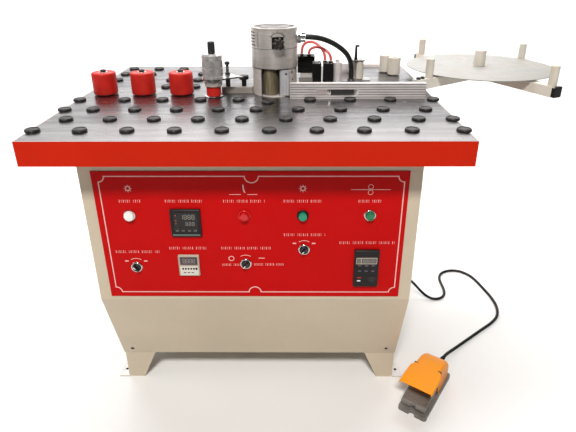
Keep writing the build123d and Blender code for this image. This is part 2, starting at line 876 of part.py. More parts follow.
with BuildPart() as pneumatic_blocks:
    # Tape clamp and cutter cylinders side by side, and the air valve behind them.
    for low_x, high_x in (clamp_block, cutter_block):
        with BuildSketch(level(base_plate)):
            with Locations((low_x, cylinder_front)):
                Rectangle(high_x - low_x, cylinder_back - cylinder_front, align=(Align.MIN, Align.MIN))
        extrude(amount=cylinder_top - base_plate)
    with BuildSketch(level(valve_low)):
        with Locations((valve_left, valve_front)):
            Rectangle(valve_right - valve_left, valve_back - valve_front, align=(Align.MIN, Align.MIN))
    extrude(amount=valve_top - valve_low)
    chamfer(edges().filter_by(Axis.Z), 1.5)
    with BuildSketch(facing_front(blade_x, cylinder_front, above(rod_height))):
        Circle(rod_radius + running_gap)
    extrude(amount=-32, mode=Mode.SUBTRACT)
    with BuildSketch(level(cylinder_top)):
        with Locations(*cylinder_ports):
            Circle(fitting_radius)
    extrude(amount=fitting_height)
    with BuildSketch(level(valve_top)):
        with Locations(*valve_ports):
            Circle(fitting_radius)
    extrude(amount=fitting_height)
save(pneumatic_blocks, "pneumatic_blocks")

column_at = (234, on_table(484))
column_radius = 13
rear_bar_depth = on_table(836)

with BuildPart() as cutter_frame:
    # Base plate under the cylinders, with a tape guide block that shows in the fence window.
    with BuildSketch(level(0)):
        with Locations((clamp_block[0], on_table(392))):
            Rectangle(90, cylinder_back - on_table(392), align=(Align.MIN, Align.MIN))
    extrude(amount=base_plate)
    with BuildSketch(level(0)):
        with Locations((168, on_table(390))):
            Rectangle(32, 12, align=(Align.MIN, Align.MIN))
    extrude(amount=30)
    with BuildSketch(Plane((*column_at, table_height))):
        Circle(column_radius)
    extrude(amount=cylinder_top)
    with BuildSketch(Plane((*column_at, above(cylinder_top)))):
        Circle(6)
    extrude(amount=8)
    # Block that carries the air valve.
    with BuildSketch(level(0)):
        with Locations((125, on_table(516))):
            Rectangle(36, 38, align=(Align.MIN, Align.MIN))
    extrude(amount=valve_low)
    # Angle bracket behind the conduit and the flat bar along the table's back edge.
    with BuildSketch(level(0)):
        with Locations((256, on_table(590))):
            Rectangle(28, 4, align=(Align.MIN, Align.MIN))
    extrude(amount=56)
    with BuildSketch(level(0)):
        with Locations((256, on_table(590))):
            Rectangle(28, 30, align=(Align.MIN, Align.MIN))
    extrude(amount=4)
    with BuildSketch(level(0)):
        with Locations((330, rear_bar_depth)):
            Rectangle(170, 8)
        with Locations((352, rear_bar_depth)):
            Rectangle(12, 14)
    extrude(amount=10)
save(cutter_frame, "cutter_frame")

with BuildPart() as cutter_blade:
    # Guillotine knife on the cylinder's rod; it crosses the tape behind the fence.
    with BuildSketch(Plane.YZ.offset(blade_x - 1)):
        Polygon(
            (on_table(396), above(8)),
            (on_table(402), above(34)),
            (on_table(430), above(34)),
            (on_table(430), above(8)),
            align=None,
        )
    extrude(amount=2)
    with BuildSketch(Plane.YZ.offset(blade_x - 7)):
        with Locations((on_table(434), above(rod_height))):
            Rectangle(20, 26)
    extrude(amount=14)
    with BuildSketch(facing_front(blade_x, on_table(440), above(rod_height))):
        Circle(rod_radius)
    extrude(amount=-44)
save(cutter_blade, "cutter_blade")

hose_radius = 4
hose_routes = [
    [
        (*valve_ports[0], above(valve_top + fitting_height)),
        (*valve_ports[0], above(116)),
        (142, on_table(530), above(132)),
        (164, on_table(520), above(134)),
        (184, on_table(504), above(122)),
        (*cylinder_ports[0], above(104)),
        (*cylinder_ports[0], above(cylinder_top + fitting_height)),
    ],
    [
        (*valve_ports[1], above(valve_top + fitting_height)),
        (*valve_ports[1], above(107)),
        (158, on_table(510), above(117)),
        (174, on_table(497), above(123)),
        (195, on_table(486), above(118)),
        (*cylinder_ports[1], above(101)),
        (*cylinder_ports[1], above(cylinder_top + fitting_height)),
    ],
]

with BuildPart() as air_hoses:
    for route in hose_routes:
        with BuildLine() as hose_line:
            FilletPolyline(*route, radius=corner_radii(route))
        with BuildSketch(Plane(origin=route[0], z_dir=Vector(*route[1]) - Vector(*route[0]))):
            Circle(hose_radius)
        sweep(path=hose_line.wire())
save(air_hoses, "air_hoses")

# ---------------------------------------------------------------- tape feeder and guide rollers
feeder_radius = 11
feeder_low = 4
feeder_high = 60
bracket_top = 62
lever_at = (303, on_table(610))

with BuildPart() as feeder_roller:
    with BuildSketch(Plane((*feeder_roller_at, above(feeder_low)))):
        Circle(feeder_radius)
    extrude(amount=feeder_high - feeder_low)
    with BuildSketch(Plane((*feeder_roller_at, above(-42)))):
        Circle(feeder_shaft_radius)
    extrude(amount=42 + bracket_top + 2)
save(feeder_roller, "feeder_roller")

with BuildPart() as feeder_bracket:
    # Bent plate: foot on the table, upright behind the roller, bridge over it.
    with BuildSketch(level(0)):
        with Locations((295, on_table(596))):
            Rectangle(56, 44, align=(Align.MIN, Align.MIN))
        with Locations(feeder_roller_at):
            Circle(feeder_shaft_radius + running_gap, mode=Mode.SUBTRACT)
    extrude(amount=3)
    with BuildSketch(level(3)):
        with Locations((295, on_table(633))):
            Rectangle(37, 4, align=(Align.MIN, Align.MIN))
    extrude(amount=bracket_top)
    with BuildSketch(level(bracket_top)):
        with Locations((295, on_table(602))):
            Rectangle(37, 35, align=(Align.MIN, Align.MIN))
        with Locations(feeder_roller_at):
            Circle(feeder_shaft_radius + running_gap, mode=Mode.SUBTRACT)
        with Locations(lever_at):
            Circle(3 + running_gap, mode=Mode.SUBTRACT)
    extrude(amount=3)
save(feeder_bracket, "feeder_bracket")

with BuildPart() as feeder_lever:
    # Black clamping lever with a short hooked tip, standing on its pivot.
    with BuildSketch(Plane((*lever_at, above(bracket_top - 6)))):
        Circle(3)
    extrude(amount=12)
    with BuildSketch(Plane((*lever_at, above(bracket_top + 3 + soft_gap)))):
        Circle(5)
    extrude(amount=46, taper=3)
    with BuildSketch(Plane.YZ.offset(lever_at[0] - 3)):
        with Locations((lever_at[1], above(108))):
            Rectangle(5, 6)
    extrude(amount=13)
save(feeder_lever, "feeder_lever")

guide_low = 2.3
guide_radius = 20.5
guide_height = 56
guide_bolt_head = 7

for place_name, place in (("front", guide_front_at), ("rear", guide_rear_at)):
    with BuildPart() as guide_roller:
        with BuildSketch(Plane((*place, above(guide_low)))):
            Circle(guide_radius)
            Circle(bolt_radius + running_gap, mode=Mode.SUBTRACT)
        extrude(amount=guide_height)
        fillet(edges().filter_by(GeomType.CIRCLE).filter_by(lambda e: e.radius > guide_bolt_head), 1)
        with BuildSketch(Plane((*place, above(guide_low + guide_height)))):
            Circle(guide_bolt_head + 1)
        extrude(amount=-7, mode=Mode.SUBTRACT)
    save(guide_roller, f"guide_roller_{place_name}")

# ---------------------------------------------------------------- tape tray
disc_radius = 232
disc_low = 34
disc_thickness = 3
hub_radius = 18
hub_height = 50
pin_radius = 6
post_radius = 12
post_height = 56


def tray_point(angle, reach):
    """Point on the tray at the given direction and distance from its centre."""
    return (
        tray_centre[0] + reach * cos(radians(angle)),
        tray_centre[1] + reach * sin(radians(angle)),
    )


def arm_plane(angle, reach):
    """Plane across an arm, looking outwards along it."""
    x, y = tray_point(angle, reach)
    outward = (cos(radians(angle)), sin(radians(angle)), 0)
    sideways = (-sin(radians(angle)), cos(radians(angle)), 0)
    return Plane(origin=(x, y, above(arm_size / 2)), x_dir=sideways, z_dir=outward)


cross_start = 18
arm_spans = [
    (tray_angle + 180, -(post_far_right + arm_overhang), tray_reach_in),
    (cross_angle, cross_start, post_near_right + arm_overhang),
    (cross_angle + 180, cross_start, post_far_left + arm_overhang),
]

with BuildPart() as tray_arms:
    # Square tubes: one long arm and two short ones butted against it, with plugged ends.
    for angle, start, stop in arm_spans:
        with BuildSketch(arm_plane(angle, start)):
            Rectangle(arm_size, arm_size)
        extrude(amount=stop - start)
    with BuildSketch(Plane((*tray_centre, above(arm_size)))):
        Circle(20)
    extrude(amount=disc_low - arm_size - soft_gap)
    with BuildSketch(Plane((*tray_centre, above(arm_size)))):
        Circle(pin_radius)
    extrude(amount=45)
    with BuildSketch(level(0)):
        with Locations(*tray_bolts_at):
            Circle(bolt_radius + bolt_clearance)
    extrude(amount=arm_size, mode=Mode.SUBTRACT)
save(tray_arms, "tray_arms")

post_places = [
    tray_point(tray_angle + 180, post_near_left),
    tray_point(tray_angle, post_far_right),
    tray_point(cross_angle, post_near_right),
    tray_point(cross_angle + 180, post_far_left),
]

with BuildPart() as tray_posts:
    with BuildSketch(level(arm_size)):
        with Locations(*post_places):
            Circle(post_radius)
    extrude(amount=post_height)
    chamfer(edges().group_by(Axis.Z)[-1], 1)
save(tray_posts, "tray_posts")

with BuildPart() as tray_disc:
    with BuildSketch(Plane((*tray_centre, above(disc_low)))):
        Circle(disc_radius)
        Circle(pin_radius + running_gap, mode=Mode.SUBTRACT)
    extrude(amount=disc_thickness)
save(tray_disc, "tray_disc")

with BuildPart() as tray_hub:
    with BuildSketch(Plane((*tray_centre, above(disc_low + disc_thickness)))):
        Circle(hub_radius)
    extrude(amount=hub_height)
    chamfer(faces().sort_by(Axis.Z)[-1].edges(), 1.5)
    with BuildSketch(Plane((*tray_centre, above(disc_low + disc_thickness)))):
        Circle(pin_radius + running_gap)
    extrude(amount=42, mode=Mode.SUBTRACT)
save(tray_hub, "tray_hub")

# ---------------------------------------------------------------- foot switch
pedal_right = Vector(0.82, -0.573, 0).normalized()
pedal_rear = Vector(0.573, 0.82, 0).normalized()
pedal_front = Vector(441, on_table(32), 0)
pedal_top_view = Plane(origin=pedal_front, x_dir=pedal_right, z_dir=(0, 0, 1))
pedal_side_view = Plane(origin=pedal_front, x_dir=pedal_rear, z_dir=pedal_right)
pedal_width = 84
pedal_length = 210
pedal_floor = 12
cheek = 3.5
cheek_half = 34
pivot_back = 165
pivot_height = 46
pivot_radius = 4
cord_height = 22
toe_half = 36
toe_length = 80
treadle_half = 30
tread_front = 12
tread_low = 40
tread_high = 54
notch_radius = 8
rib_count = 13
rib_pitch = 9


def pedal_slice(half, outline):
    """Prism of the given half width whose outline is drawn in the pedal's side view."""
    with BuildPart() as prism:
        with BuildSketch(pedal_side_view.offset(-half)):
            Polygon(*outline, align=None)
        extrude(amount=2 * half)
    return prism.part


cheek_outline = [
    (84, pedal_floor),
    (110, 30),
    (150, 40),
    (150, 58),
    (185, 58),
    (190, pedal_floor),
]
cheek_space = [
    (80, pedal_floor),
    (80, 60),
    (192, 60),
    (192, pedal_floor),
]
housing_outline = [
    (176, pedal_floor),
    (176, 54),
    (196, 48),
    (203, 38),
    (203, pedal_floor),
]


with BuildPart() as pedal_base:
    with BuildSketch(pedal_top_view):
        with Locations((0, pedal_length / 2)):
            RectangleRounded(pedal_width, pedal_length, 8)
        Circle(notch_radius + 1, mode=Mode.SUBTRACT)
    extrude(amount=pedal_floor)
    # Two cheeks that carry the pivot, joined by the switch housing at the back.
    add(pedal_slice(cheek_half, cheek_outline))
    add(pedal_slice(cheek_half - cheek, cheek_space), mode=Mode.SUBTRACT)
    add(pedal_slice(cheek_half - cheek, housing_outline))
    with BuildSketch(pedal_side_view.offset(-pedal_width / 2)):
        with Locations((pivot_back, pivot_height)):
            Circle(pivot_radius + running_gap)
    extrude(amount=pedal_width, mode=Mode.SUBTRACT)
save(pedal_base, "pedal_base")

tread_outline = [
    (6, 26),
    (6, 36),
    (tread_front, tread_low),
    (pivot_back, tread_high),
    (pivot_back + 6, 48),
    (pivot_back + 4, 41),
    (pivot_back - 10, 41),
    (20, 32),
    (14, 26),
]
tread_slope = (tread_high - tread_low) / (pivot_back - tread_front)

with BuildPart() as pedal_treadle:
    # Ribbed tread, wide in front and narrow between the cheeks, with a notch in the toe.
    add(pedal_slice(toe_half, tread_outline))
    for number in range(rib_count):
        rib_back = 18 + rib_pitch * number
        with BuildSketch(pedal_side_view.offset(-toe_half + 3)):
            with Locations((rib_back, tread_low + (rib_back - tread_front) * tread_slope)):
                Rectangle(4, 3)
        extrude(amount=2 * toe_half - 6)
    with BuildSketch(pedal_top_view):
        for side in (-1, 1):
            with Locations((side * (treadle_half + 10), toe_length + 60)):
                Rectangle(20, 120)
        with Locations((0, 4)):
            Circle(notch_radius)
    extrude(amount=100, mode=Mode.SUBTRACT)
    # The pivot's two stub pins.
    with BuildSketch(pedal_side_view.offset(-cheek_half)):
        with Locations((pivot_back, pivot_height)):
            Circle(pivot_radius)
    extrude(amount=2 * cheek_half)
save(pedal_treadle, "pedal_treadle")

hood_wall = 3
hood_half = 37.5
hood_back = 209
canopy_half = 48
canopy_top = 104
canopy_low = 91
hood_outline = [
    (100, canopy_top),
    (122, canopy_top),
    (150, 98),
    (175, 85),
    (195, 66),
    (hood_back - 1, 40),
    (hood_back, pedal_floor),
    (100, pedal_floor),
]
hood_inside = [
    (95, canopy_top - hood_wall),
    (121, canopy_top - hood_wall),
    (149, 95),
    (173, 82.5),
    (192, 64),
    (hood_back - 4.5, 39.5),
    (hood_back - 3, 0),
    (95, 0),
]
canopy_plan = [
    (canopy_half, 5),
    (canopy_half, 84),
    (hood_half, 104),
    (-hood_half, 104),
    (-canopy_half, 84),
    (-canopy_half, 5),
]
canopy_inside = [
    (canopy_half - hood_wall, 0),
    (canopy_half - hood_wall, 83),
    (hood_half - hood_wall, 103),
    (hood_half - hood_wall, 110),
    (hood_wall - hood_half, 110),
    (hood_wall - hood_half, 103),
    (hood_wall - canopy_half, 83),
    (hood_wall - canopy_half, 0),
]

with BuildPart() as pedal_guard:
    # Hood over the switch housing, then a wider canopy over the treadle with a short skirt.
    add(pedal_slice(hood_half, hood_outline))
    with BuildSketch(pedal_top_view.offset(canopy_low)):
        Polygon(*canopy_plan, align=None)
    extrude(amount=canopy_top - canopy_low)
    with BuildSketch(pedal_top_view.offset(canopy_low)):
        Polygon(*canopy_inside, align=None)
    extrude(amount=canopy_top - canopy_low - hood_wall, mode=Mode.SUBTRACT)
    add(pedal_slice(hood_half - hood_wall, hood_inside), mode=Mode.SUBTRACT)
save(pedal_guard, "pedal_guard")

# ---------------------------------------------------------------- foot switch cord
cord_radius = 5
cord_exit_x = cabinet_width / 2 + 30
pedal_gland_back = hood_back + 0.3
pedal_gland_length = 16.7
pedal_gland_radius = 9.5
cord_end_back = pedal_gland_back + pedal_gland_length
cord_end = pedal_front + pedal_rear * cord_end_back + Vector(0, 0, cord_height)
cord_last = pedal_front + pedal_rear * (cord_end_back + 40) + Vector(0, 0, cord_height)
cord_points = [
    (cord_exit_x, cord_gland_y, cord_gland_z),
    (488, cord_gland_y, cord_gland_z),
    (527, 98, 106),
    (554, 110, 80),
    (576, 117, 52),
    (597, 115, 28),
    (619, 106, 12),
    (642, 99, 6),
    (666, 103, 6),
    (685, 118, 6),
    (695, 140, 6),
    (699, 170, 6),
    (698, 206, 6),
    (700, 238, 6),
    (711, 268, 6),
    (735, 288, 6),
    (765, 297, 6),
    (797, 292, 6),
    (824, 270, 6),
    (842, 236, 6),
    (855, 176, 6),
    (868, 110, 6),
    (868, 50, 6),
    (850, -2, 6),
    (814, -40, 6),
    (768, -74, 6),
    (696, -130, 6),
    (628, -186, 11),
    (cord_last.X, cord_last.Y, cord_last.Z),
    (cord_end.X, cord_end.Y, cord_end.Z),
]
cord_bends = corner_radii(cord_points)

with BuildPart() as foot_switch_cord:
    with BuildLine() as cord_line:
        FilletPolyline(*cord_points, radius=cord_bends)
    first_run = Vector(*cord_points[1]) - Vector(*cord_points[0])
    with BuildSketch(Plane(origin=cord_points[0], z_dir=first_run)):
        Circle(cord_radius)
    sweep(path=cord_line.wire())
save(foot_switch_cord, "foot_switch_cord")
cord_length = cord_line.wire().length
print("cord length", round(cord_length, 1), "bend radii", [round(radius) for radius in cord_bends])
print("cord volume ratio", round(foot_switch_cord.part.volume / (pi * cord_radius**2 * cord_length), 4))
print("conduit bend radii", [round(radius) for radius in conduit_radii])

# ---------------------------------------------------------------- glands


hexagon_share = 0.4
nut_share = 0.84


def gland(origin, direction, length, radius):
    """Cable gland on a panel: thread behind it, hexagon on it and a round nut in front."""
    base = Plane(origin=origin, z_dir=direction)
    with BuildPart() as fitting:
        with BuildSketch(base.offset(-10)):
            Circle(gland_thread / 2 - 0.1)
        extrude(amount=10)
        with BuildSketch(base):
            RegularPolygon(radius, 6)
        extrude(amount=length * hexagon_share)
        with BuildSketch(base.offset(length * hexagon_share)):
            Circle(radius * nut_share)
        extrude(amount=length * (1 - hexagon_share))
    return fitting.part


pot_gland_from = (pot_at[0] + pot_radius, pot_at[1], above(pot_gland_height))
pot_gland = gland(pot_gland_from, (1, 0, 0), gland_face_x - pot_gland_from[0], 17)
table_gland = gland((*conduit_drop_at, table_height), (0, 0, 1), 14, 14)
cord_gland_from = (cabinet_width / 2, cord_gland_y, cord_gland_z)
cord_gland = gland(cord_gland_from, (1, 0, 0), cord_exit_x - cord_gland_from[0], 13)
mains_gland_from = (mains_gland_x, cabinet_back + cover_thickness, mains_gland_z)
mains_gland = gland(mains_gland_from, (0, 1, 0), 26, 13)
pedal_gland_from = pedal_front + pedal_rear * pedal_gland_back + Vector(0, 0, cord_height)

with BuildPart() as cable_glands:
    add([pot_gland, table_gland, cord_gland, mains_gland])
    with BuildSketch(Plane(origin=pedal_gland_from, z_dir=pedal_rear)):
        Circle(pedal_gland_radius)
    extrude(amount=pedal_gland_length)
save(cable_glands, "cable_glands")

# ---------------------------------------------------------------- fasteners
axle_head = 7.8
adjuster_top = 81

with BuildPart() as bolts:
    # Press roller axles: washer, shoulder, head and the thread through the table.
    for x in press_x:
        base = Plane((x, press_y, table_height))
        with BuildSketch(base):
            Circle(24)
        extrude(amount=press_washer)
        with BuildSketch(base):
            Circle(axle_radius)
        extrude(amount=press_low + press_height + soft_gap)
        with BuildSketch(base.offset(press_low + press_height + soft_gap)):
            Circle(axle_head)
        extrude(amount=6)
        with BuildSketch(base):
            Circle(bolt_radius)
        extrude(amount=-16)
    # Guide roller bolts with their heads sunk in the rollers.
    for place in (guide_front_at, guide_rear_at):
        base = Plane((*place, table_height))
        with BuildSketch(base):
            Circle(12)
        extrude(amount=2)
        with BuildSketch(base.offset(-16)):
            Circle(bolt_radius)
        extrude(amount=16 + guide_low + guide_height - 7 + soft_gap)
        with BuildSketch(base.offset(guide_low + guide_height - 7 + soft_gap)):
            Circle(guide_bolt_head)
        extrude(amount=5)
    # Pressure adjusting screw with its bush and lock nut.
    base = Plane((*adjuster_at, above(4)))
    with BuildSketch(base):
        Circle(4)
    extrude(amount=adjuster_top - 4)
    with BuildSketch(base.offset(block_height - 4)):
        Circle(7)
    extrude(amount=arm_low - block_height)
    with BuildSketch(base.offset(arm_low + arm_thickness - 4)):
        RegularPolygon(7.5, 6)
    extrude(amount=5)
    with BuildSketch(base.offset(adjuster_top - 4)):
        Circle(7.5)
    extrude(amount=8)
    # Flush table screws, tray bolts, foot bolts and rear cover screws.
    with BuildSketch(level(-table_screw_depth)):
        with Locations(*table_screws_at):
            Circle(table_screw_radius)
    extrude(amount=table_screw_depth)
    with BuildSketch(level(-plate_thickness)):
        with Locations(*tray_bolts_at):
            Circle(bolt_radius)
    extrude(amount=plate_thickness + arm_size)
    with BuildSketch(level(arm_size)):
        with Locations(*tray_bolts_at):
            Circle(6.5)
    extrude(amount=6)
    with BuildSketch(Plane.XY.offset(cabinet_bottom - foot_plate)):
        with Locations(*foot_flange_bolts):
            Circle(bolt_radius)
    extrude(amount=16)
    with BuildSketch(Plane.XY.offset(cabinet_bottom - foot_plate - 6)):
        with Locations(*foot_flange_bolts):
            RegularPolygon(7, 6)
    extrude(amount=6)
    with BuildSketch(facing_front(0, cabinet_back + cover_thickness, cover_middle)):
        with GridLocations(2 * cover_screw_x, cover_screw_pitch, 2, 4):
            Circle(cover_screw_radius)
    extrude(amount=8)
    with BuildSketch(facing_front(0, cabinet_back + cover_thickness, cover_middle)):
        with GridLocations(2 * cover_screw_x, cover_screw_pitch, 2, 4):
            Circle(5)
    extrude(amount=-3)
save(bolts, "bolts")

# ---------------------------------------------------------------- inside the cabinet
with BuildPart() as gear_motors:
    # Main feed motor hung on four pillars under the glue shaft.
    with BuildSketch(Plane((*glue_roller_at, above(-68)))):
        Rectangle(124, 124)
        Circle(glue_shaft_radius + running_gap, mode=Mode.SUBTRACT)
    extrude(amount=6)
    with BuildSketch(Plane((*glue_roller_at, above(-62)))):
        with GridLocations(106, 106, 2, 2):
            Circle(6)
    extrude(amount=62 - plate_thickness)
    with BuildSketch(Plane((*glue_roller_at, above(-128)))):
        RectangleRounded(100, 100, 8)
    extrude(amount=60)
    with BuildSketch(Plane((*glue_roller_at, above(-278)))):
        Circle(45)
    extrude(amount=150)
    # Small feeder motor bolted straight to the plate.
    with BuildSketch(Plane((*feeder_roller_at, above(-90)))):
        RectangleRounded(56, 56, 6)
    extrude(amount=90 - plate_thickness)
    with BuildSketch(Plane((*feeder_roller_at, above(-42.3)))):
        Circle(feeder_shaft_radius + running_gap)
    extrude(amount=42.3 - plate_thickness, mode=Mode.SUBTRACT)
    with BuildSketch(Plane((*feeder_roller_at, above(-170)))):
        Circle(26)
    extrude(amount=80)
save(gear_motors, "gear_motors")

belt_gap = 0.3
belt_thickness = 4
belt_height = 10
belt_centre = ((drive_at[0] + glue_roller_at[0]) / 2, (drive_at[1] + glue_roller_at[1]) / 2)
shaft_spacing = hypot(glue_roller_at[0] - drive_at[0], glue_roller_at[1] - drive_at[1])
belt_angle = degrees(atan2(glue_roller_at[1] - drive_at[1], glue_roller_at[0] - drive_at[0]))
belt_inside = 2 * (pulley_radius + belt_gap)

with BuildPart() as drive_belt:
    with BuildSketch(Plane((*belt_centre, above(pulley_low + 2)))):
        SlotCenterToCenter(shaft_spacing, belt_inside + 2 * belt_thickness, rotation=belt_angle)
        SlotCenterToCenter(shaft_spacing, belt_inside, rotation=belt_angle, mode=Mode.SUBTRACT)
    extrude(amount=belt_height)
save(drive_belt, "drive_belt")

with BuildPart() as contactors:
    with BuildSketch(Plane.YZ.offset(-cabinet_width / 2 + sheet)):
        with Locations((0, 320)):
            with GridLocations(56, 1, 3, 1):
                RectangleRounded(45, 75, 3)
    extrude(amount=80)
save(contactors, "contactors")
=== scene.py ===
"""Looks of the edge banding machine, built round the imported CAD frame.

+X is the operator's right, +Y is away from the operator and the floor is z = 0.  The scene is in
metres.  Shapes are drawn in millimetres; materials, lights and the floor are given in metres.
"""
import math

import bmesh
import bpy
from mathutils import Matrix, Vector


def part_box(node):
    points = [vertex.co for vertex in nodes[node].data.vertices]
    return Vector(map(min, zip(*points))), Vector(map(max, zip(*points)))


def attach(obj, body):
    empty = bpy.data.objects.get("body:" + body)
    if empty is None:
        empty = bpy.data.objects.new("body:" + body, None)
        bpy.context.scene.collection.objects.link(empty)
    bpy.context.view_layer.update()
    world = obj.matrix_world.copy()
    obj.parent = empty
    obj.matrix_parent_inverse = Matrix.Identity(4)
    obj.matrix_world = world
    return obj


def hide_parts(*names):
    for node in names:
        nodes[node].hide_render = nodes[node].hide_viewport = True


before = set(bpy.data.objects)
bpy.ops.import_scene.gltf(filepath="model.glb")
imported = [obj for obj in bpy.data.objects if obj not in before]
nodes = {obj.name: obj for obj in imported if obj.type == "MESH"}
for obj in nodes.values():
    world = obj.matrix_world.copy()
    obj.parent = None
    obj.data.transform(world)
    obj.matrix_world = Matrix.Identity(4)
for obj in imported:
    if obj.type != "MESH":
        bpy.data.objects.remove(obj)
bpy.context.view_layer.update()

MM = 0.001


def mm(*values):
    """Point given in millimetres."""
    return Vector(values) * MM


def low(node):
    """Lowest corner of a CAD node's box, in metres."""
    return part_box(node)[0]


def high(node):
    """Highest corner of a CAD node's box, in metres."""
    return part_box(node)[1]


def centre(node):
    """Middle of a CAD node's box, in millimetres."""
    return (low(node) + high(node)) / 2 / MM


def link_object(name, data):
    """Adds an object that holds the data to the scene."""
    made = bpy.data.objects.new(name, data)
    bpy.context.scene.collection.objects.link(made)
    return made


# ---------------------------------------------------------------- camera
CAMERA_PLACE = mm(104, -1485, 1189)
CAMERA_DOWN = 23.93
CAMERA_YAW = 0.46
CAMERA_ROLL = -0.20
SENSOR_WIDTH = 36
FOCAL_SHARE = 500.8 / 576
SHIFT_RIGHT = -0.0031
SHIFT_UP = -0.0540


def make_camera():
    """Camera fitted to the photo: angles in degrees, focal length as a share of the sensor's width."""
    data = bpy.data.cameras.new("camera")
    data.sensor_width = SENSOR_WIDTH
    data.lens = SENSOR_WIDTH * FOCAL_SHARE
    data.shift_x = SHIFT_RIGHT
    data.shift_y = SHIFT_UP
    camera = link_object("camera", data)
    camera.location = CAMERA_PLACE
    turn = Matrix.Rotation(math.radians(CAMERA_YAW), 4, "Z")
    tilt = Matrix.Rotation(math.radians(90 - CAMERA_DOWN), 4, "X")
    roll = Matrix.Rotation(math.radians(CAMERA_ROLL), 4, "Z")
    camera.rotation_euler = (turn @ tilt @ roll).to_euler()
    bpy.context.scene.camera = camera


make_camera()


# ---------------------------------------------------------------- surfaces
class Surface:
    """One procedural material with small helpers for its nodes."""

    def __init__(self, name, roughness=0.5, metallic=0.0):
        self.material = bpy.data.materials.new(name)
        self.material.use_nodes = True
        self.tree = self.material.node_tree
        self.shader = self.tree.nodes["Principled BSDF"]
        self.shader.inputs["Roughness"].default_value = roughness
        self.shader.inputs["Metallic"].default_value = metallic
        self.place = self.tree.nodes.new("ShaderNodeTexCoord").outputs["Object"]
        self.height = None

    def set(self, **values):
        for name, value in values.items():
            self.shader.inputs[name.replace("_", " ")].default_value = value

    def link(self, source, socket):
        self.tree.links.new(source, socket)

    def node(self, kind, source=None, socket="Vector", **values):
        """New node of the given kind, with its inputs set and one of them linked to the source."""
        made = self.tree.nodes.new("ShaderNode" + kind)
        for name, value in values.items():
            made.inputs[name.replace("_", " ")].default_value = value
        if source is not None:
            self.link(source, made.inputs[socket])
        return made

    def stretched(self, stretch):
        """Object coordinates scaled differently along each axis."""
        return self.node("Mapping", self.place, Scale=stretch).outputs["Vector"]

    def noise(self, scale, detail=3.0, stretch=(1, 1, 1), rough=0.5, warp=0.0):
        place = self.stretched(stretch)
        values = {"Scale": scale, "Detail": detail, "Roughness": rough, "Distortion": warp}
        return self.node("TexNoise", place, **values).outputs["Fac"]

    def ramp(self, source, *stops):
        """Colour ramp from (position, colour) stops; a colour can be one grey level."""
        ramp = self.node("ValToRGB", source, "Fac")
        elements = ramp.color_ramp.elements
        elements.remove(elements[-1])
        for number, (position, color) in enumerate(stops):
            if isinstance(color, (int, float)):
                color = (color, color, color)
            element = elements.new(position) if number else elements[0]
            element.position = position
            element.color = (*color, 1)
        return ramp.outputs["Color"]

    def mottled(self, scale, detail, first, second):
        """Cloudy change from one colour to another."""
        return self.ramp(self.noise(scale, detail), (0.3, first), (0.7, second))

    def feed(self, value, socket):
        """Sets a socket to a number or colour, or links a node's output to it."""
        if isinstance(value, (int, float)):
            socket.default_value = value
        elif isinstance(value, tuple):
            socket.default_value = (*value, 1)
        else:
            self.link(value, socket)

    def mix(self, share, first, second, how="MIX"):
        mixer = self.tree.nodes.new("ShaderNodeMix")
        mixer.data_type = "RGBA"
        mixer.blend_type = how
        sockets = [s for s in mixer.inputs if s.type == "RGBA"]
        self.feed(share, mixer.inputs[0])
        self.feed(first, sockets[0])
        self.feed(second, sockets[1])
        return [s for s in mixer.outputs if s.type == "RGBA"][0]

    def scaled(self, source, lowest, highest, start=0.0, stop=1.0):
        """Maps start to stop onto lowest to highest, and holds the ends."""
        values = {"From_Min": start, "From_Max": stop, "To_Min": lowest, "To_Max": highest}
        return self.node("MapRange", source, "Value", **values).outputs["Result"]

    def math(self, how, first, second):
        made = self.node("Math")
        made.operation = how
        self.feed(first, made.inputs[0])
        self.feed(second, made.inputs[1])
        return made.outputs["Value"]

    def worn_edges(self, width):
        """Mask that is bright along convex and concave edges."""
        bevel = self.node("Bevel", Radius=width)
        bevel.samples = 4
        dot = self.node("VectorMath")
        dot.operation = "DOT_PRODUCT"
        self.link(bevel.outputs["Normal"], dot.inputs[0])
        self.link(self.node("NewGeometry").outputs["Normal"], dot.inputs[1])
        return self.scaled(dot.outputs["Value"], 1.0, 0.0, 0.86, 0.99)

    def depth(self):
        """Share of the way from the front of the object's box to its back."""
        box_share = self.node("TexCoord").outputs["Generated"]
        return self.node("SeparateXYZ", box_share).outputs["Y"]

    def facing_up(self):
        """Mask that is bright where the surface looks straight up."""
        normal = self.node("NewGeometry").outputs["Normal"]
        return self.scaled(self.node("SeparateXYZ", normal).outputs["Z"], 0.0, 1.0, 0.9, 0.98)

    def color(self, source):
        self.feed(source, self.shader.inputs["Base Color"])

    def roughness(self, source, lowest, highest, start=0.3, stop=0.7):
        self.link(self.scaled(source, lowest, highest, start, stop), self.shader.inputs["Roughness"])

    def bump(self, source, distance, strength=1.0):
        """Adds one layer of relief on top of the ones before it."""
        bump = self.node("Bump", source, "Height", Distance=distance, Strength=strength)
        if self.height is not None:
            self.link(self.height, bump.inputs["Normal"])
        self.height = bump.outputs["Normal"]
        self.link(self.height, self.shader.inputs["Normal"])


def tint(color, factor):
    return tuple(min(1.0, channel * factor) for channel in color)


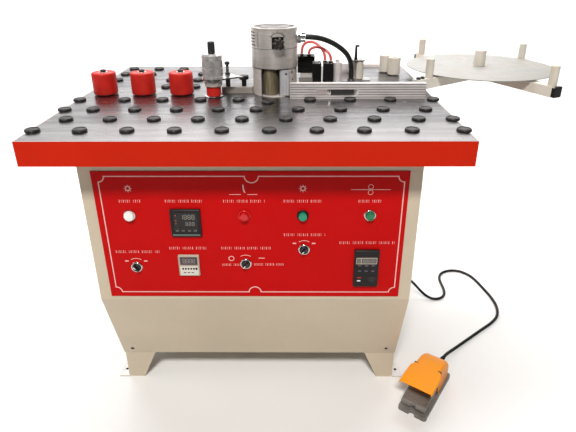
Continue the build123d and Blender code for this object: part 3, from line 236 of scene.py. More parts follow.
def painted(name, color, dirt=0.12, roughness=(0.30, 0.46), coat=0.15, shine=0.5, upper=None):
    """Sprayed or powder-coated sheet metal with orange peel, faint dirt and lighter edges.

    Faces that look up take the colour named upper.
    """
    s = Surface(name)
    cloud = s.noise(3.2, 5, rough=0.6)
    base = s.ramp(cloud, (0.3, tint(color, 1 - dirt)), (0.7, tint(color, 1 + dirt / 2)))
    speckle = s.ramp(s.noise(420, 2), (0.30, 0.72), (0.42, 1.0))
    base = s.mix(0.35, base, speckle, "MULTIPLY")
    rub = s.math("MULTIPLY", s.worn_edges(0.0012), s.scaled(s.noise(45, 4), 0.0, 1.0, 0.45, 0.62))
    base = s.mix(s.math("MULTIPLY", rub, 0.45), base, tint(color, 1.5))
    if upper:
        base = s.mix(s.facing_up(), base, s.mottled(40, 5, tint(upper, 0.8), upper))
    s.color(base)
    s.roughness(s.noise(14, 6), *roughness)
    s.bump(s.noise(5, 2), 0.0012, 0.25)
    s.bump(s.noise(650, 1), 0.00006)
    s.set(Coat_Weight=coat, Coat_Roughness=0.2, Specular_IOR_Level=shine)
    return s.material


def plastic(name, color, roughness=(0.32, 0.5), grain=900, depth=0.00004, dust=0.10, shine=0.5):
    """Moulded plastic with a fine spark-eroded grain and a little dust."""
    s = Surface(name)
    base = s.mottled(12, 5, tint(color, 1 - dust), tint(color, 1 + dust))
    grey = tuple(channel * 0.7 + 0.07 for channel in color)
    dusty = s.scaled(s.noise(70, 6, rough=0.7), 0.0, dust * 2.5, 0.55, 0.75)
    s.color(s.mix(dusty, base, grey))
    s.roughness(s.noise(25, 5), *roughness)
    s.bump(s.noise(grain, 2), depth)
    s.set(Specular_IOR_Level=shine)
    return s.material


def machined(name, light, dark, stretch, roughness=(0.22, 0.42), metallic=1.0):
    """Bare metal with tool marks: stretch is high across the marks and low along them."""
    s = Surface(name, metallic=metallic)
    marks = s.noise(1.0, 6, stretch=stretch, rough=0.7)
    cloud = s.noise(16, 5, rough=0.65, warp=0.6)
    base = s.ramp(marks, (0.28, dark), (0.72, light))
    stain = s.ramp(cloud, (0.34, 0.62), (0.62, 1.0))
    s.color(s.mix(0.55, base, stain, "MULTIPLY"))
    s.roughness(s.mix(0.5, s.ramp(marks, (0, 0.0), (1, 1.0)), s.ramp(cloud, (0, 1.0), (1, 0.0))), *roughness)
    s.bump(marks, 0.00002)
    s.bump(s.noise(220, 5, stretch=(1, 3, 0.4)), 0.00004, 0.5)
    return s.material


def table_steel():
    """Cold-drawn steel plate: mill marks along X, cloudy stains, and a painted reflection that lightens it in
    front.
    """
    s = Surface("table_plate", metallic=1.0)
    streaks = s.noise(1.0, 8, stretch=(3.5, 42, 4), rough=0.62, warp=0.4)
    fine = s.noise(1.0, 5, stretch=(35, 900, 20), rough=0.7)
    clouds = s.noise(4.2, 7, rough=0.62, warp=1.1)
    steel = ((0.30, (0.15, 0.145, 0.15)), (0.50, (0.26, 0.255, 0.26)), (0.72, (0.44, 0.42, 0.43)))
    stains = s.ramp(clouds, (0.36, (0.52, 0.50, 0.53)), (0.52, (0.86, 0.85, 0.87)), (0.7, (1, 1, 1)))
    base = s.mix(0.8, s.ramp(streaks, *steel), stains, "MULTIPLY")
    base = s.mix(0.25, base, s.ramp(fine, (0.3, 0.5), (0.7, 1.0)), "MULTIPLY")
    rust = s.scaled(s.noise(26, 6, rough=0.8), 0.0, 0.35, 0.66, 0.78)
    base = s.mix(rust, base, (0.13, 0.07, 0.045))
    # Painted reflection: the plate's colour is lightened towards its front edge, as if it mirrored a bright
    # wall.
    front_reflection = s.scaled(s.math("ADD", s.depth(), s.scaled(clouds, -0.1, 0.1)), 0.45, 0.0, 0.02, 0.24)
    s.color(s.mix(front_reflection, base, (0.50, 0.47, 0.475)))
    uneven = s.mix(0.5, s.ramp(streaks, (0, 1.0), (1, 0.0)), s.ramp(clouds, (0, 1.0), (1, 0.0)))
    s.roughness(uneven, 0.18, 0.40)
    s.bump(s.noise(2.5, 3), 0.0012, 0.25)
    s.bump(fine, 0.00003)
    return s.material


def rubber_red(name):
    """Cast polyurethane: even colour, waxy, with fine turning marks and pale scuffs."""
    s = Surface(name)
    base = s.mottled(30, 5, (0.42, 0.010, 0.006), (0.56, 0.018, 0.010))
    scuff = s.scaled(s.noise(55, 6, stretch=(1, 1, 2.4), rough=0.75), 0.0, 0.3, 0.60, 0.78)
    s.color(s.mix(scuff, base, (0.42, 0.07, 0.05)))
    s.roughness(s.noise(60, 4), 0.34, 0.55)
    s.bump(s.noise(1.0, 3, stretch=(40, 40, 900)), 0.00005)
    s.bump(s.noise(160, 3), 0.00009, 0.6)
    s.set(Subsurface_Weight=0.12, Subsurface_Scale=0.004, Specular_IOR_Level=0.3)
    return s.material


def nylon(name, color, gloss=0.42):
    """White plastic: slightly translucent, with faint turning rings and yellowed patches."""
    s = Surface(name, roughness=gloss)
    base = s.mottled(18, 4, tint(color, 0.93), tint(color, 1.04))
    aged = (color[0] * 1.04, color[1] * 0.98, color[2] * 0.86)
    s.color(s.mix(s.scaled(s.noise(7, 4), 0.0, 0.6, 0.5, 0.8), base, aged))
    s.roughness(s.noise(50, 4), gloss - 0.08, gloss + 0.1)
    s.bump(s.noise(1.0, 3, stretch=(12, 12, 1400)), 0.00004)
    s.set(Subsurface_Weight=0.2, Subsurface_Scale=0.006)
    return s.material


def sheath(name, color, roughness=(0.36, 0.55)):
    """Black cable sheath with a fine grain and some dust."""
    s = Surface(name)
    dusty = s.scaled(s.noise(38, 6, rough=0.7), 0.0, 0.4, 0.52, 0.80)
    s.color(s.mix(dusty, color, (0.06, 0.055, 0.05)))
    s.roughness(s.noise(48, 4), *roughness)
    s.bump(s.noise(420, 3), 0.00005)
    s.set(Specular_IOR_Level=0.25)
    return s.material


def clear_red(name):
    """Translucent red polyurethane air hose."""
    s = Surface(name, roughness=0.16)
    s.color(s.mottled(40, 3, (0.72, 0.10, 0.09), (0.86, 0.20, 0.18)))
    s.roughness(s.noise(60, 3), 0.10, 0.24)
    s.bump(s.noise(300, 2), 0.00003)
    s.set(Transmission_Weight=0.45, IOR=1.45, Subsurface_Weight=0.25, Subsurface_Scale=0.004)
    return s.material


def chrome(name, color):
    """Plated metal with a faint haze."""
    s = Surface(name, metallic=1.0)
    s.color(s.mottled(60, 4, tint(color, 0.86), color))
    s.roughness(s.noise(90, 5), 0.09, 0.24)
    s.bump(s.noise(700, 2), 0.00002)
    return s.material


def glowing(name, color, strength):
    """Lit display segments under a smoked window."""
    s = Surface(name, roughness=0.4)
    s.color(s.mottled(300, 2, tint(color, 0.4), tint(color, 0.5)))
    s.set(Emission_Color=(*color, 1), Emission_Strength=strength)
    s.bump(s.noise(900, 1), 0.00001)
    return s.material


def smoked(name, color):
    """Dark glossy window or membrane with fingerprints."""
    s = Surface(name)
    s.color(s.mottled(35, 4, tint(color, 0.85), tint(color, 1.15)))
    s.roughness(s.noise(90, 5, rough=0.7), 0.12, 0.28)
    s.bump(s.noise(700, 2), 0.00001)
    s.set(Coat_Weight=0.15, Coat_Roughness=0.12, Specular_IOR_Level=0.25)
    return s.material


def cast_grey(name, color, roughness=(0.42, 0.62)):
    """Cast or blackened metal with a coarse skin and pale wear on its edges."""
    s = Surface(name)
    base = s.mottled(22, 6, tint(color, 0.8), tint(color, 1.2))
    rub = s.math("MULTIPLY", s.worn_edges(0.0018), s.scaled(s.noise(120, 4), 0.2, 1.0, 0.4, 0.6))
    s.color(s.mix(s.math("MULTIPLY", rub, 0.55), base, tint(color, 2.0)))
    s.roughness(s.noise(40, 5), *roughness)
    s.bump(s.noise(380, 4), 0.00018, 0.7)
    s.bump(s.noise(40, 2), 0.0004, 0.3)
    return s.material


def glue_film():
    """Bronze roller under a film of set glue that has run down it."""
    s = Surface("glue_film", metallic=0.35)
    runs = s.noise(1.0, 5, stretch=(160, 160, 14), rough=0.6)
    bronze = ((0.30, (0.12, 0.095, 0.055)), (0.55, (0.20, 0.165, 0.10)), (0.75, (0.30, 0.255, 0.17)))
    s.color(s.ramp(runs, *bronze))
    s.roughness(runs, 0.40, 0.60)
    s.bump(runs, 0.0004, 0.6)
    s.set(Coat_Weight=0.15, Coat_Roughness=0.3)
    return s.material


DULL_PAINT = {"roughness": (0.42, 0.56), "coat": 0.0, "shine": 0.3}
CABINET = painted("cabinet_beige", (0.56, 0.475, 0.36), dirt=0.07, **DULL_PAINT)
FEET = painted("feet_beige", (0.56, 0.475, 0.36), dirt=0.09, upper=(0.8, 0.79, 0.8), **DULL_PAINT)
RED_PAINT = {"coat": 0.0, "shine": 0.08}
RUBBED_GREY = (0.42, 0.40, 0.40)
APRON = painted("apron_paint", (0.52, 0.015, 0.002), roughness=(0.34, 0.46), upper=RUBBED_GREY, **RED_PAINT)
PANEL = painted("panel_paint", (0.49, 0.002, 0.002), dirt=0.06, roughness=(0.36, 0.48), **RED_PAINT)
PRINT = painted("panel_print", (0.80, 0.50, 0.47), dirt=0.10, roughness=(0.4, 0.5), coat=0.0, shine=0.1)
TABLE = table_steel()
CAP_BLACK = plastic("slide_plastic", (0.020, 0.016, 0.016), roughness=(0.34, 0.50), dust=0.14, shine=0.35)
BLACK = plastic("black_moulding", (0.011, 0.009, 0.009), roughness=(0.34, 0.5), dust=0.06, shine=0.22)
STAR_BLACK = plastic("star_knob_black", (0.022, 0.016, 0.015), roughness=(0.36, 0.5), shine=0.4)
SWITCH_BLACK = plastic("switch_black", (0.010, 0.010, 0.011), roughness=(0.2, 0.34), dust=0.05)
BEZEL_BLACK = plastic("bezel_black", (0.014, 0.010, 0.010), roughness=(0.36, 0.5), dust=0.05, shine=0.2)
BUTTON_RED = plastic("button_red", (0.55, 0.006, 0.007), roughness=(0.22, 0.34), dust=0.04)
BUTTON_GREEN = plastic("button_green", (0.006, 0.26, 0.14), roughness=(0.2, 0.32), dust=0.04)
BUTTON_GREEN_DARK = plastic("button_green_dark", (0.008, 0.17, 0.06), roughness=(0.2, 0.32), dust=0.04)
LAMP_WHITE = plastic("lamp_white", (0.78, 0.80, 0.78), roughness=(0.16, 0.28), dust=0.03)
POINTER = plastic("pointer_white", (0.82, 0.80, 0.76), roughness=(0.4, 0.5), dust=0.03)
COUNTER_GREY = plastic("counter_grey", (0.42, 0.36, 0.28), roughness=(0.36, 0.5), dust=0.06)
WINDOW = smoked("smoked_window", (0.012, 0.010, 0.010))
WINDOW_GREY = smoked("grey_window", (0.09, 0.085, 0.08))
PURPLE_WINDOW = smoked("purple_window", (0.075, 0.045, 0.06))
TEAL = plastic("teal_strip", (0.10, 0.16, 0.15), dust=0.05)
KEY_LILAC = plastic("key_lilac", (0.10, 0.075, 0.11), dust=0.05)
LIGHT_RED = glowing("segments_red", (0.9, 0.12, 0.06), 0.35)
LIGHT_GREY = glowing("segments_grey", (0.45, 0.42, 0.36), 0.10)
CHROME = chrome("bezel_chrome", (0.72, 0.71, 0.69))
NICKEL = chrome("nickel_plate", (0.60, 0.60, 0.58))
ROLLER_RED = rubber_red("roller_rubber")
NYLON = nylon("white_nylon", (0.60, 0.56, 0.49))
DISC_WHITE = nylon("disc_laminate", (0.345, 0.335, 0.315), gloss=0.45)
CREAM = painted("cream_paint", (0.66, 0.62, 0.55), dirt=0.07, roughness=(0.3, 0.45))
TURNED = machined(
    "turned_aluminium", (0.94, 0.88, 0.83), (0.66, 0.61, 0.57), (9, 9, 420), (0.27, 0.44), metallic=0.72
)
POT_STEEL = machined(
    "pot_steel", (0.92, 0.85, 0.80), (0.66, 0.60, 0.56), (9, 9, 420), (0.36, 0.55), metallic=0.4
)
SCRAPER = machined(
    "scraper_steel", (0.80, 0.79, 0.82), (0.40, 0.39, 0.41), (420, 420, 9), (0.36, 0.55), metallic=0.5
)
LID = machined("lid_aluminium", (0.30, 0.28, 0.27), (0.15, 0.14, 0.135), (60, 60, 60), (0.34, 0.50))
HOUSING = machined(
    "housing_aluminium", (0.90, 0.88, 0.86), (0.50, 0.48, 0.47), (300, 300, 160), (0.26, 0.42), metallic=0.7
)
TURNED_STEEL = machined("turned_steel", (0.62, 0.61, 0.59), (0.34, 0.33, 0.31), (9, 9, 520), (0.24, 0.45))
DRAWN = machined(
    "drawn_aluminium", (0.98, 0.93, 0.91), (0.78, 0.73, 0.72), (6, 380, 520), (0.34, 0.50), metallic=0.5
)
GROUND = machined("ground_steel", (0.72, 0.71, 0.70), (0.44, 0.43, 0.42), (120, 14, 120), (0.16, 0.34))
# Dark steel for the pot's seams; the same material is painted shade down the sides of the pot's window.
DARK_STEEL_AND_SHADE = machined("dark_steel", (0.24, 0.235, 0.23), (0.10, 0.10, 0.10), (60, 12, 60), (0.34, 0.52))
BLACK_STEEL = cast_grey("black_oxide", (0.018, 0.018, 0.019), roughness=(0.30, 0.46))
BLACK_ANODISED = plastic("black_anodised", (0.008, 0.007, 0.007), (0.4, 0.55), dust=0.04, shine=0.12)
GREY_BLOCK = cast_grey("grey_block", (0.17, 0.165, 0.15))
# Near-black grey for the plate behind the fence window, painted shade for the inside of the fence.
WINDOW_SHADE_GREY = cast_grey("window_shade_grey", (0.075, 0.072, 0.07))
ARM_GREY = cast_grey("arm_block_grey", (0.25, 0.225, 0.20), roughness=(0.34, 0.55))
GLUE = glue_film()
CABLE = sheath("cord_sheath", (0.007, 0.006, 0.006))
CONDUIT = sheath("conduit_sheath", (0.014, 0.015, 0.014), (0.30, 0.46))
HOSE = clear_red("air_hose_red")
PEDAL_GREY = cast_grey("pedal_grey", (0.15, 0.135, 0.12))
HOOD = plastic("hood_orange", (0.86, 0.29, 0.008), (0.40, 0.52), 700, 0.00006, dust=0.02, shine=0.2)
MOTOR = cast_grey("motor_paint", (0.05, 0.06, 0.07))
# Dark grey for the bottoms of the fence's grooves, where it is painted shade.
GROOVE = machined(
    "groove_shade", (0.30, 0.27, 0.26), (0.14, 0.13, 0.12), (9, 300, 300), (0.5, 0.7), metallic=0.3
)
# Near-black for painted shade in the flow knob's pocket, the floor bolt holes and the hood's air slots, and
# ink for the flow scale.
SHADE_AND_INK = plastic("painted_shade_and_ink", (0.004, 0.004, 0.004), roughness=(0.5, 0.7))


def wear(node, material):
    """Gives a CAD node its finished material."""
    data = nodes[node].data
    data.materials.clear()
    data.materials.append(material)


for names, material in (
    (("cabinet_shell", "rear_cover"), CABINET),
    (("feet",), FEET),
    (("control_panel",), PANEL),
    (("table_frame",), APRON),
    (("table_top",), TABLE),
    (("support_buttons",), CAP_BLACK),
    (("button_bezels",), CHROME),
    (("cut_button",), BUTTON_RED),
    (("feed_motor_button",), BUTTON_GREEN),
    (("feeder_button",), BUTTON_GREEN_DARK),
    (("power_selector", "function_selector", "motor_selector"), SWITCH_BLACK),
    (("power_lamp",), LAMP_WHITE),
    (("temperature_controller", "speed_controller"), BLACK),
    (("counter",), COUNTER_GREY),
    (("press_roller_left", "press_roller_middle", "press_roller_right", "drive_roller"), ROLLER_RED),
    (("drive_shaft", "glue_shaft", "feeder_bracket"), TURNED_STEEL),
    (("glue_pot_body",), POT_STEEL),
    (("pressure_arm", "cutter_blade"), GROUND),
    (("scraper_block",), SCRAPER),
    (("heater_ring", "glue_pot_cap"), TURNED),
    (("pot_lid",), LID),
    (("bearing_housing",), HOUSING),
    (("spindle_cap", "bolts"), BLACK_STEEL),
    (("arm_block",), ARM_GREY),
    (("clamp_knob", "flow_knob", "feeder_lever", "contactors"), BLACK),
    (("glue_roller",), GLUE),
    (("pot_conduit",), CONDUIT),
    (("drive_belt", "foot_switch_cord"), CABLE),
    (("fence", "cutter_frame"), DRAWN),
    (("pneumatic_blocks",), BLACK_ANODISED),
    (("air_hoses",), HOSE),
    (("feeder_roller", "guide_roller_front", "guide_roller_rear", "tray_posts", "tray_hub"), NYLON),
    (("tray_disc",), DISC_WHITE),
    (("tray_arms",), CREAM),
    (("pedal_base", "pedal_treadle"), PEDAL_GREY),
    (("pedal_guard",), HOOD),
    (("cable_glands",), NICKEL),
    (("gear_motors",), MOTOR),
):
    for node in names:
        wear(node, material)


# ---------------------------------------------------------------- mesh helpers
def stand(x, y, z, axis="Z", turn=0):
    """Local frame at a point in millimetres, with its own Z along the given axis."""
    leans = {
        "Z": Matrix(),
        "X": Matrix.Rotation(math.radians(90), 4, "Y"),
        "-X": Matrix.Rotation(math.radians(-90), 4, "Y"),
        "Y": Matrix.Rotation(math.radians(-90), 4, "X"),
        "-Y": Matrix.Rotation(math.radians(90), 4, "X"),
    }
    return Matrix.Translation((x, y, z)) @ leans[axis] @ Matrix.Rotation(math.radians(turn), 4, "Z")


def polar(reach, angle):
    """X and Y at a distance and a direction in radians."""
    return (reach * math.cos(angle), reach * math.sin(angle))


def rounded(width, depth, radius, steps=4):
    """Outline of a rectangle with rounded corners."""
    corners = [(1, 1, 0), (-1, 1, 90), (-1, -1, 180), (1, -1, 270)]
    outline = []
    for across, along, first in corners:
        for step in range(steps + 1):
            angle = math.radians(first + 90 * step / steps)
            x = across * (width / 2 - radius) + radius * math.cos(angle)
            y = along * (depth / 2 - radius) + radius * math.sin(angle)
            outline.append((x, y))
    return outline


def arc(x, y, radius, first, last, steps=10):
    """Points along an arc, angles in degrees."""
    points = []
    for step in range(steps + 1):
        across, along = polar(radius, math.radians(first + (last - first) * step / steps))
        points.append((x + across, y + along))
    return points


def moved(outline, x, y):
    """Outline shifted within its own plane."""
    return [(px + x, py + y) for px, py in outline]


def raised(outline, place, height):
    """Outline as points in space, at a height above the local frame."""
    return [place @ Vector((x, y, height)) for x, y in outline]


def ring(place, reach, height, segments):
    """Points round local Z; reach is a distance, or a function that gives it from the angle."""
    outline = []
    for n in range(segments):
        angle = 2 * math.pi * n / segments
        outline.append(polar(reach(angle) if callable(reach) else reach, angle))
    return raised(outline, place, height)


def within(place, x, y, z=0):
    """Local frame shifted inside another one."""
    return place @ Matrix.Translation((x, y, z))


WELD_DISTANCE = 0.001
SHARP_CORNER = 40


class Shape:
    """Mesh under construction, in millimetres."""

    def __init__(self):
        self.mesh = bmesh.new()

    def skin(self, rings, closed=True, first_cap=False, last_cap=False):
        """Joins rings of points into a surface."""
        made = [[self.mesh.verts.new(point) for point in ring] for ring in rings]
        count = max(len(ring) for ring in made)
        last = count if closed else count - 1
        for lower, upper in zip(made, made[1:]):
            for n in range(last):
                after = (n + 1) % count
                corners = [lower[n % len(lower)], lower[after % len(lower)]]
                corners += [upper[after % len(upper)], upper[n % len(upper)]]
                corners = list(dict.fromkeys(corners))
                if len(corners) > 2:
                    self.mesh.faces.new(corners)
        if first_cap:
            self.mesh.faces.new(list(reversed(made[0])))
        if last_cap:
            self.mesh.faces.new(made[-1])

    def lathe(self, outline, place, segments=48, lobes=0, first=0):
        """Turns (radius, height) points round local Z; a third number is the depth of lobes there."""
        rings = []
        for radius, height, *depth in outline:
            wave = depth[0] if depth else 0

            def reach(angle):
                return radius + wave * math.cos(lobes * angle + first)

            rings.append(ring(place, reach, height, segments if radius > 0 else 1))
        self.skin(rings)

    def prism(self, outline, bottom, top, place):
        """Straight body on a closed outline."""
        rings = [raised(outline, place, height) for height in (bottom, top)]
        self.skin(rings, first_cap=True, last_cap=True)

    def block(self, corner, opposite):
        """Box between two corners."""
        (left, front, bottom), (right, back, top) = corner, opposite
        outline = [(left, front), (right, front), (right, back), (left, back)]
        self.prism(outline, bottom, top, Matrix())

    def ribbon(self, points, width, place, height=0.25, closed=False):
        """Printed line of even width along flat points."""
        inner, outer = [], []
        count = len(points)
        for n, (x, y) in enumerate(points):
            before = points[n - 1] if n or closed else points[0]
            after = points[(n + 1) % count] if n < count - 1 or closed else points[-1]
            here = Vector((x, y))
            arriving = (here - Vector(before)).normalized() if Vector(before) != here else None
            leaving = (Vector(after) - here).normalized() if Vector(after) != here else None
            along = ((arriving or leaving) + (leaving or arriving)).normalized()
            spread = width / 2
            if arriving and leaving:
                spread = width / 2 / max(0.5, along.dot(leaving))
            side = Vector((-along.y, along.x)) * spread
            inner.append(here - side)
            outer.append(here + side)
        edge_order = [(inner, 0), (inner, height), (outer, height), (outer, 0)]
        columns = [[place @ Vector((*row[n], level)) for row, level in edge_order] for n in range(count)]
        if closed:
            columns.append(columns[0])
        self.skin(columns, first_cap=not closed, last_cap=not closed)

    def piece(self, name, material, body="machine", slot=None, stands_for=(), bevel=0.0, steps=2, smooth=38):
        """Turns the mesh into a finished object that rides on a body."""
        bmesh.ops.remove_doubles(self.mesh, verts=self.mesh.verts, dist=WELD_DISTANCE)
        bmesh.ops.recalc_face_normals(self.mesh, faces=self.mesh.faces)
        bmesh.ops.scale(self.mesh, vec=(MM, MM, MM), verts=self.mesh.verts)
        data = bpy.data.meshes.new(name)
        self.mesh.to_mesh(data)
        self.mesh.free()
        data.materials.append(material)
        data.polygons.foreach_set("use_smooth", [True] * len(data.polygons))
        data.set_sharp_from_angle(angle=math.radians(smooth))
        made = link_object(name, data)
        if bevel:
            rounding = made.modifiers.new("edges", "BEVEL")
            rounding.width = bevel * MM
            rounding.segments = steps
            rounding.limit_method = "ANGLE"
            rounding.angle_limit = math.radians(SHARP_CORNER)
            rounding.harden_normals = True
        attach(made, body)
        if stands_for:
            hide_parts(*stands_for)
        return made


def turned(name, material, outline, place, segments=48, lobes=0, first=0, **how):
    """A piece made on the lathe from one outline."""
    shape = Shape()
    shape.lathe(outline, place, segments, lobes, first)
    return shape.piece(name, material, **how)


def slab(name, material, outline, bottom, top, place, **how):
    """A piece that is one straight body on an outline."""
    shape = Shape()
    shape.prism(outline, bottom, top, place)
    return shape.piece(name, material, **how)


def islands(node):
    """Lowest and highest corner of every separate solid in a node, in millimetres."""
    source = bmesh.new()
    source.from_mesh(nodes[node].data)
    bmesh.ops.remove_doubles(source, verts=source.verts, dist=0.00001)
    left = set(source.verts)
    found = []
    while left:
        group, queue = set(), [left.pop()]
        while queue:
            vertex = queue.pop()
            group.add(vertex)
            for edge in vertex.link_edges:
                other = edge.other_vert(vertex)
                if other in left:
                    left.discard(other)
                    queue.append(other)
        corners = []
        for pick in (min, max):
            corners.append(Vector([pick(v.co[n] for v in group) for n in range(3)]) / MM)
        found.append(tuple(corners))
    source.free()
    return sorted(found, key=lambda box: (round(box[0].z), round(box[0].y), round(box[0].x)))


# ---------------------------------------------------------------- cord, conduit and hoses
CORD_RADIUS = 5
CONDUIT_RADIUS = 7.5
HOSE_RADIUS = 4
PEDAL_FRONT = Vector((441, -438, 0))
PEDAL_RIGHT = Vector((0.82, -0.573, 0)).normalized()
PEDAL_REAR = Vector((0.573, 0.82, 0)).normalized()
CORD_HEIGHT = 22
CORD_END = PEDAL_FRONT + PEDAL_REAR * 226 + Vector((0, 0, CORD_HEIGHT))
CORD_LAST = PEDAL_FRONT + PEDAL_REAR * 266 + Vector((0, 0, CORD_HEIGHT))
CORD_ROUTE = [
    (444, 90, 120),
    (488, 90, 120),
    (527, 98, 106),
    (554, 110, 80),
    (576, 117, 52),
    (597, 115, 28),
    (619, 106, 12),
    (642, 99, 6),
    (666, 103, 6),
    (685, 118, 6),
    (695, 140, 6),
    (699, 170, 6),
    (698, 206, 6),
    (700, 238, 6),
    (711, 268, 6),
    (735, 288, 6),
    (765, 297, 6),
    (797, 292, 6),
    (824, 270, 6),
    (842, 236, 6),
    (855, 176, 6),
    (868, 110, 6),
    (868, 50, 6),
    (850, -2, 6),
    (814, -40, 6),
    (768, -74, 6),
    (696, -130, 6),
    (628, -186, 11),
    tuple(CORD_LAST),
    tuple(CORD_END),
]


def flexible(name, route, radius, material, node):
    """Round flexible line on one smooth spline, in place of a CAD node; also gives its middle line."""
    curve = bpy.data.curves.new(name, "CURVE")
    curve.dimensions = "3D"
    curve.resolution_u = 10
    curve.bevel_resolution = 5
    curve.use_fill_caps = True
    spline = curve.splines.new("NURBS")
    spline.points.add(len(route) - 1)
    for point, place in zip(spline.points, route):
        point.co = (*mm(*place), 1)
    spline.order_u = 3
    spline.use_endpoint_u = True
    line = link_object(name, curve)
    track = bpy.data.meshes.new_from_object(line)
    points = [vertex.co / MM for vertex in track.vertices]
    bpy.data.meshes.remove(track)
    curve.bevel_depth = radius * MM
    curve.materials.append(material)
    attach(line, "machine")
    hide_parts(node)
    return line, points


def sleeve(points, profile, shape, segments=24):
    """Tapered or ribbed sleeve round a line; the profile holds (distance along it, radius)."""
    travelled = [0.0]
    for first, second in zip(points, points[1:]):
        travelled.append(travelled[-1] + (second - first).length)
    rings = []
    for distance, radius in profile:
        index = max(n for n, value in enumerate(travelled[:-1]) if value <= distance + 0.0001)
        along = (points[index + 1] - points[index]).normalized()
        place = points[index] + along * (distance - travelled[index])
        side = along.cross(Vector((0, 0, 1)))
        side.normalize()
        up = side.cross(along)
        around = [polar(radius, 2 * math.pi * n / segments) for n in range(segments)]
        rings.append([place + side * across + up * rise for across, rise in around])
    shape.skin(rings, first_cap=True, last_cap=True)


def ribbed_profile(length, wide, narrow, ribs):
    """Strain relief that tapers from wide to narrow in separate rings."""
    plain = length * 0.16
    profile = [(0, wide), (plain, wide)]
    pitch = length * 0.84 / ribs
    for n in range(ribs):
        radius = wide + (narrow - wide) * (n + 1) / ribs
        first = plain + n * pitch
        profile += [(first + pitch * 0.08, radius - 1.0), (first + pitch * 0.38, radius - 1.0)]
        profile += [(first + pitch * 0.46, radius), (first + pitch * 0.98, radius)]
    return profile


def make_cord():
    """Foot switch cord between its two glands, with a ribbed strain relief at each end."""
    route = CORD_ROUTE
    cord, points = flexible("foot_switch_lead", route, CORD_RADIUS, CABLE, "foot_switch_cord")
    near = Shape()
    sleeve(points, ribbed_profile(38, 9.0, 6.6, 5), near)
    near_relief = near.piece("cord_relief_cabinet", BLACK, slot="black_rubber")
    far = Shape()
    sleeve(list(reversed(points)), ribbed_profile(30, 8.4, 6.6, 4), far)
    far_relief = far.piece("cord_relief_pedal", BLACK, slot="black_rubber")


CONDUIT_ROUTE = [
    (138, -20, 997),
    (168, -20, 997),
    (208, -4, 983),
    (246, 26, 958),
    (273, 60, 928),
    (286, 96, 888),
    (286, 96, 854),
]
HOSE_ROUTES = [
    [
        (129, 62, 937),
        (129, 62, 956),
        (142, 60, 972),
        (164, 50, 974),
        (184, 34, 962),
        (197, 14, 944),
        (197, 14, 925),
    ],
    [
        (151, 54, 937),
        (151, 54, 947),
        (158, 40, 957),
        (174, 27, 963),
        (195, 16, 958),
        (214, 8, 941),
        (214, 8, 925),
    ],
]


def make_fixed_lines():
    """Heater conduit and the two air hoses, each held at both ends."""
    flexible("heater_conduit", CONDUIT_ROUTE, CONDUIT_RADIUS, CONDUIT, "pot_conduit")
    for number, route in enumerate(HOSE_ROUTES):
        flexible(f"air_hose_{number + 1}", route, HOSE_RADIUS, HOSE, "air_hoses")


# ---------------------------------------------------------------- control panel
PANEL_FACE = low("control_panel").y / MM
BORDER_LEFT = -367
BORDER_RIGHT = 371
BORDER_LOW = 388
BORDER_HIGH = 722
NOTCH = 15
PRINT_LINE = 2.6
PRINT_PROUD = 0.2


def on_panel(x, z, proud=0.0, turn=0):
    """Local frame on the panel's face: X to the right, Y up, Z towards the operator."""
    return stand(x, PANEL_FACE - proud, z, "-Y", turn)


def border_outline():
    """Border with scooped corners, a dip at the top middle and a bump at the bottom middle."""
    points = arc(BORDER_LEFT, BORDER_HIGH, NOTCH, -90, 0)
    points += arc(3, BORDER_HIGH, 17, 180, 360)
    points += arc(BORDER_RIGHT, BORDER_HIGH, NOTCH, 180, 270)
    points += arc(BORDER_RIGHT, BORDER_LOW, NOTCH, 90, 180)
    points += arc(2, BORDER_LOW, 16, 0, 180)
    points += arc(BORDER_LEFT, BORDER_LOW, NOTCH, 0, 90)
    return points


# Height, left end, right end and letter height of each row of ticks.
LABEL_ROWS = [
    (656, -323, -273, 7.5),
    (656, -210, -117, 7.5),
    (656, -67, 33, 7.5),
    (656, 81, 171, 7.5),
    (656, 264, 317, 7.5),
    (512, -351, -241, 7.5),
    (523, -212, -115, 7.5),
    (523, -79, 49, 7.5),
    (562, 81, 183, 7.5),
    (539, 222, 360, 7.5),
    (473, -79, -38, 6.5),
    (474, 4, 77, 6.5),
]


def print_line(ink, points, width, x, z, closed=False):
    """Printed line along points round a spot on the panel."""
    ink.ribbon(points, width, on_panel(x, z), PRINT_PROUD, closed)


def tick_row(ink, z, first, last, height):
    """Plain row of ticks and dots that stands where a printed caption was."""
    pitch = height * 0.62
    count = int((last - first) / pitch)
    for n in range(count + 1):
        x = first + (last - first) * n / count
        if n % 7 == 6:
            continue
        if n % 2:
            for rise in (height * 0.3, -height * 0.3):
                print_line(ink, [(-0.75, 0), (0.75, 0)], 1.5, x, z + rise)
        else:
            print_line(ink, [(0, -height / 2), (0, height / 2)], 1.3, x, z)


def ring_mark(ink, x, z, radius, width):
    """Printed circle."""
    print_line(ink, arc(0, 0, radius, 0, 345, 23), width, x, z, closed=True)


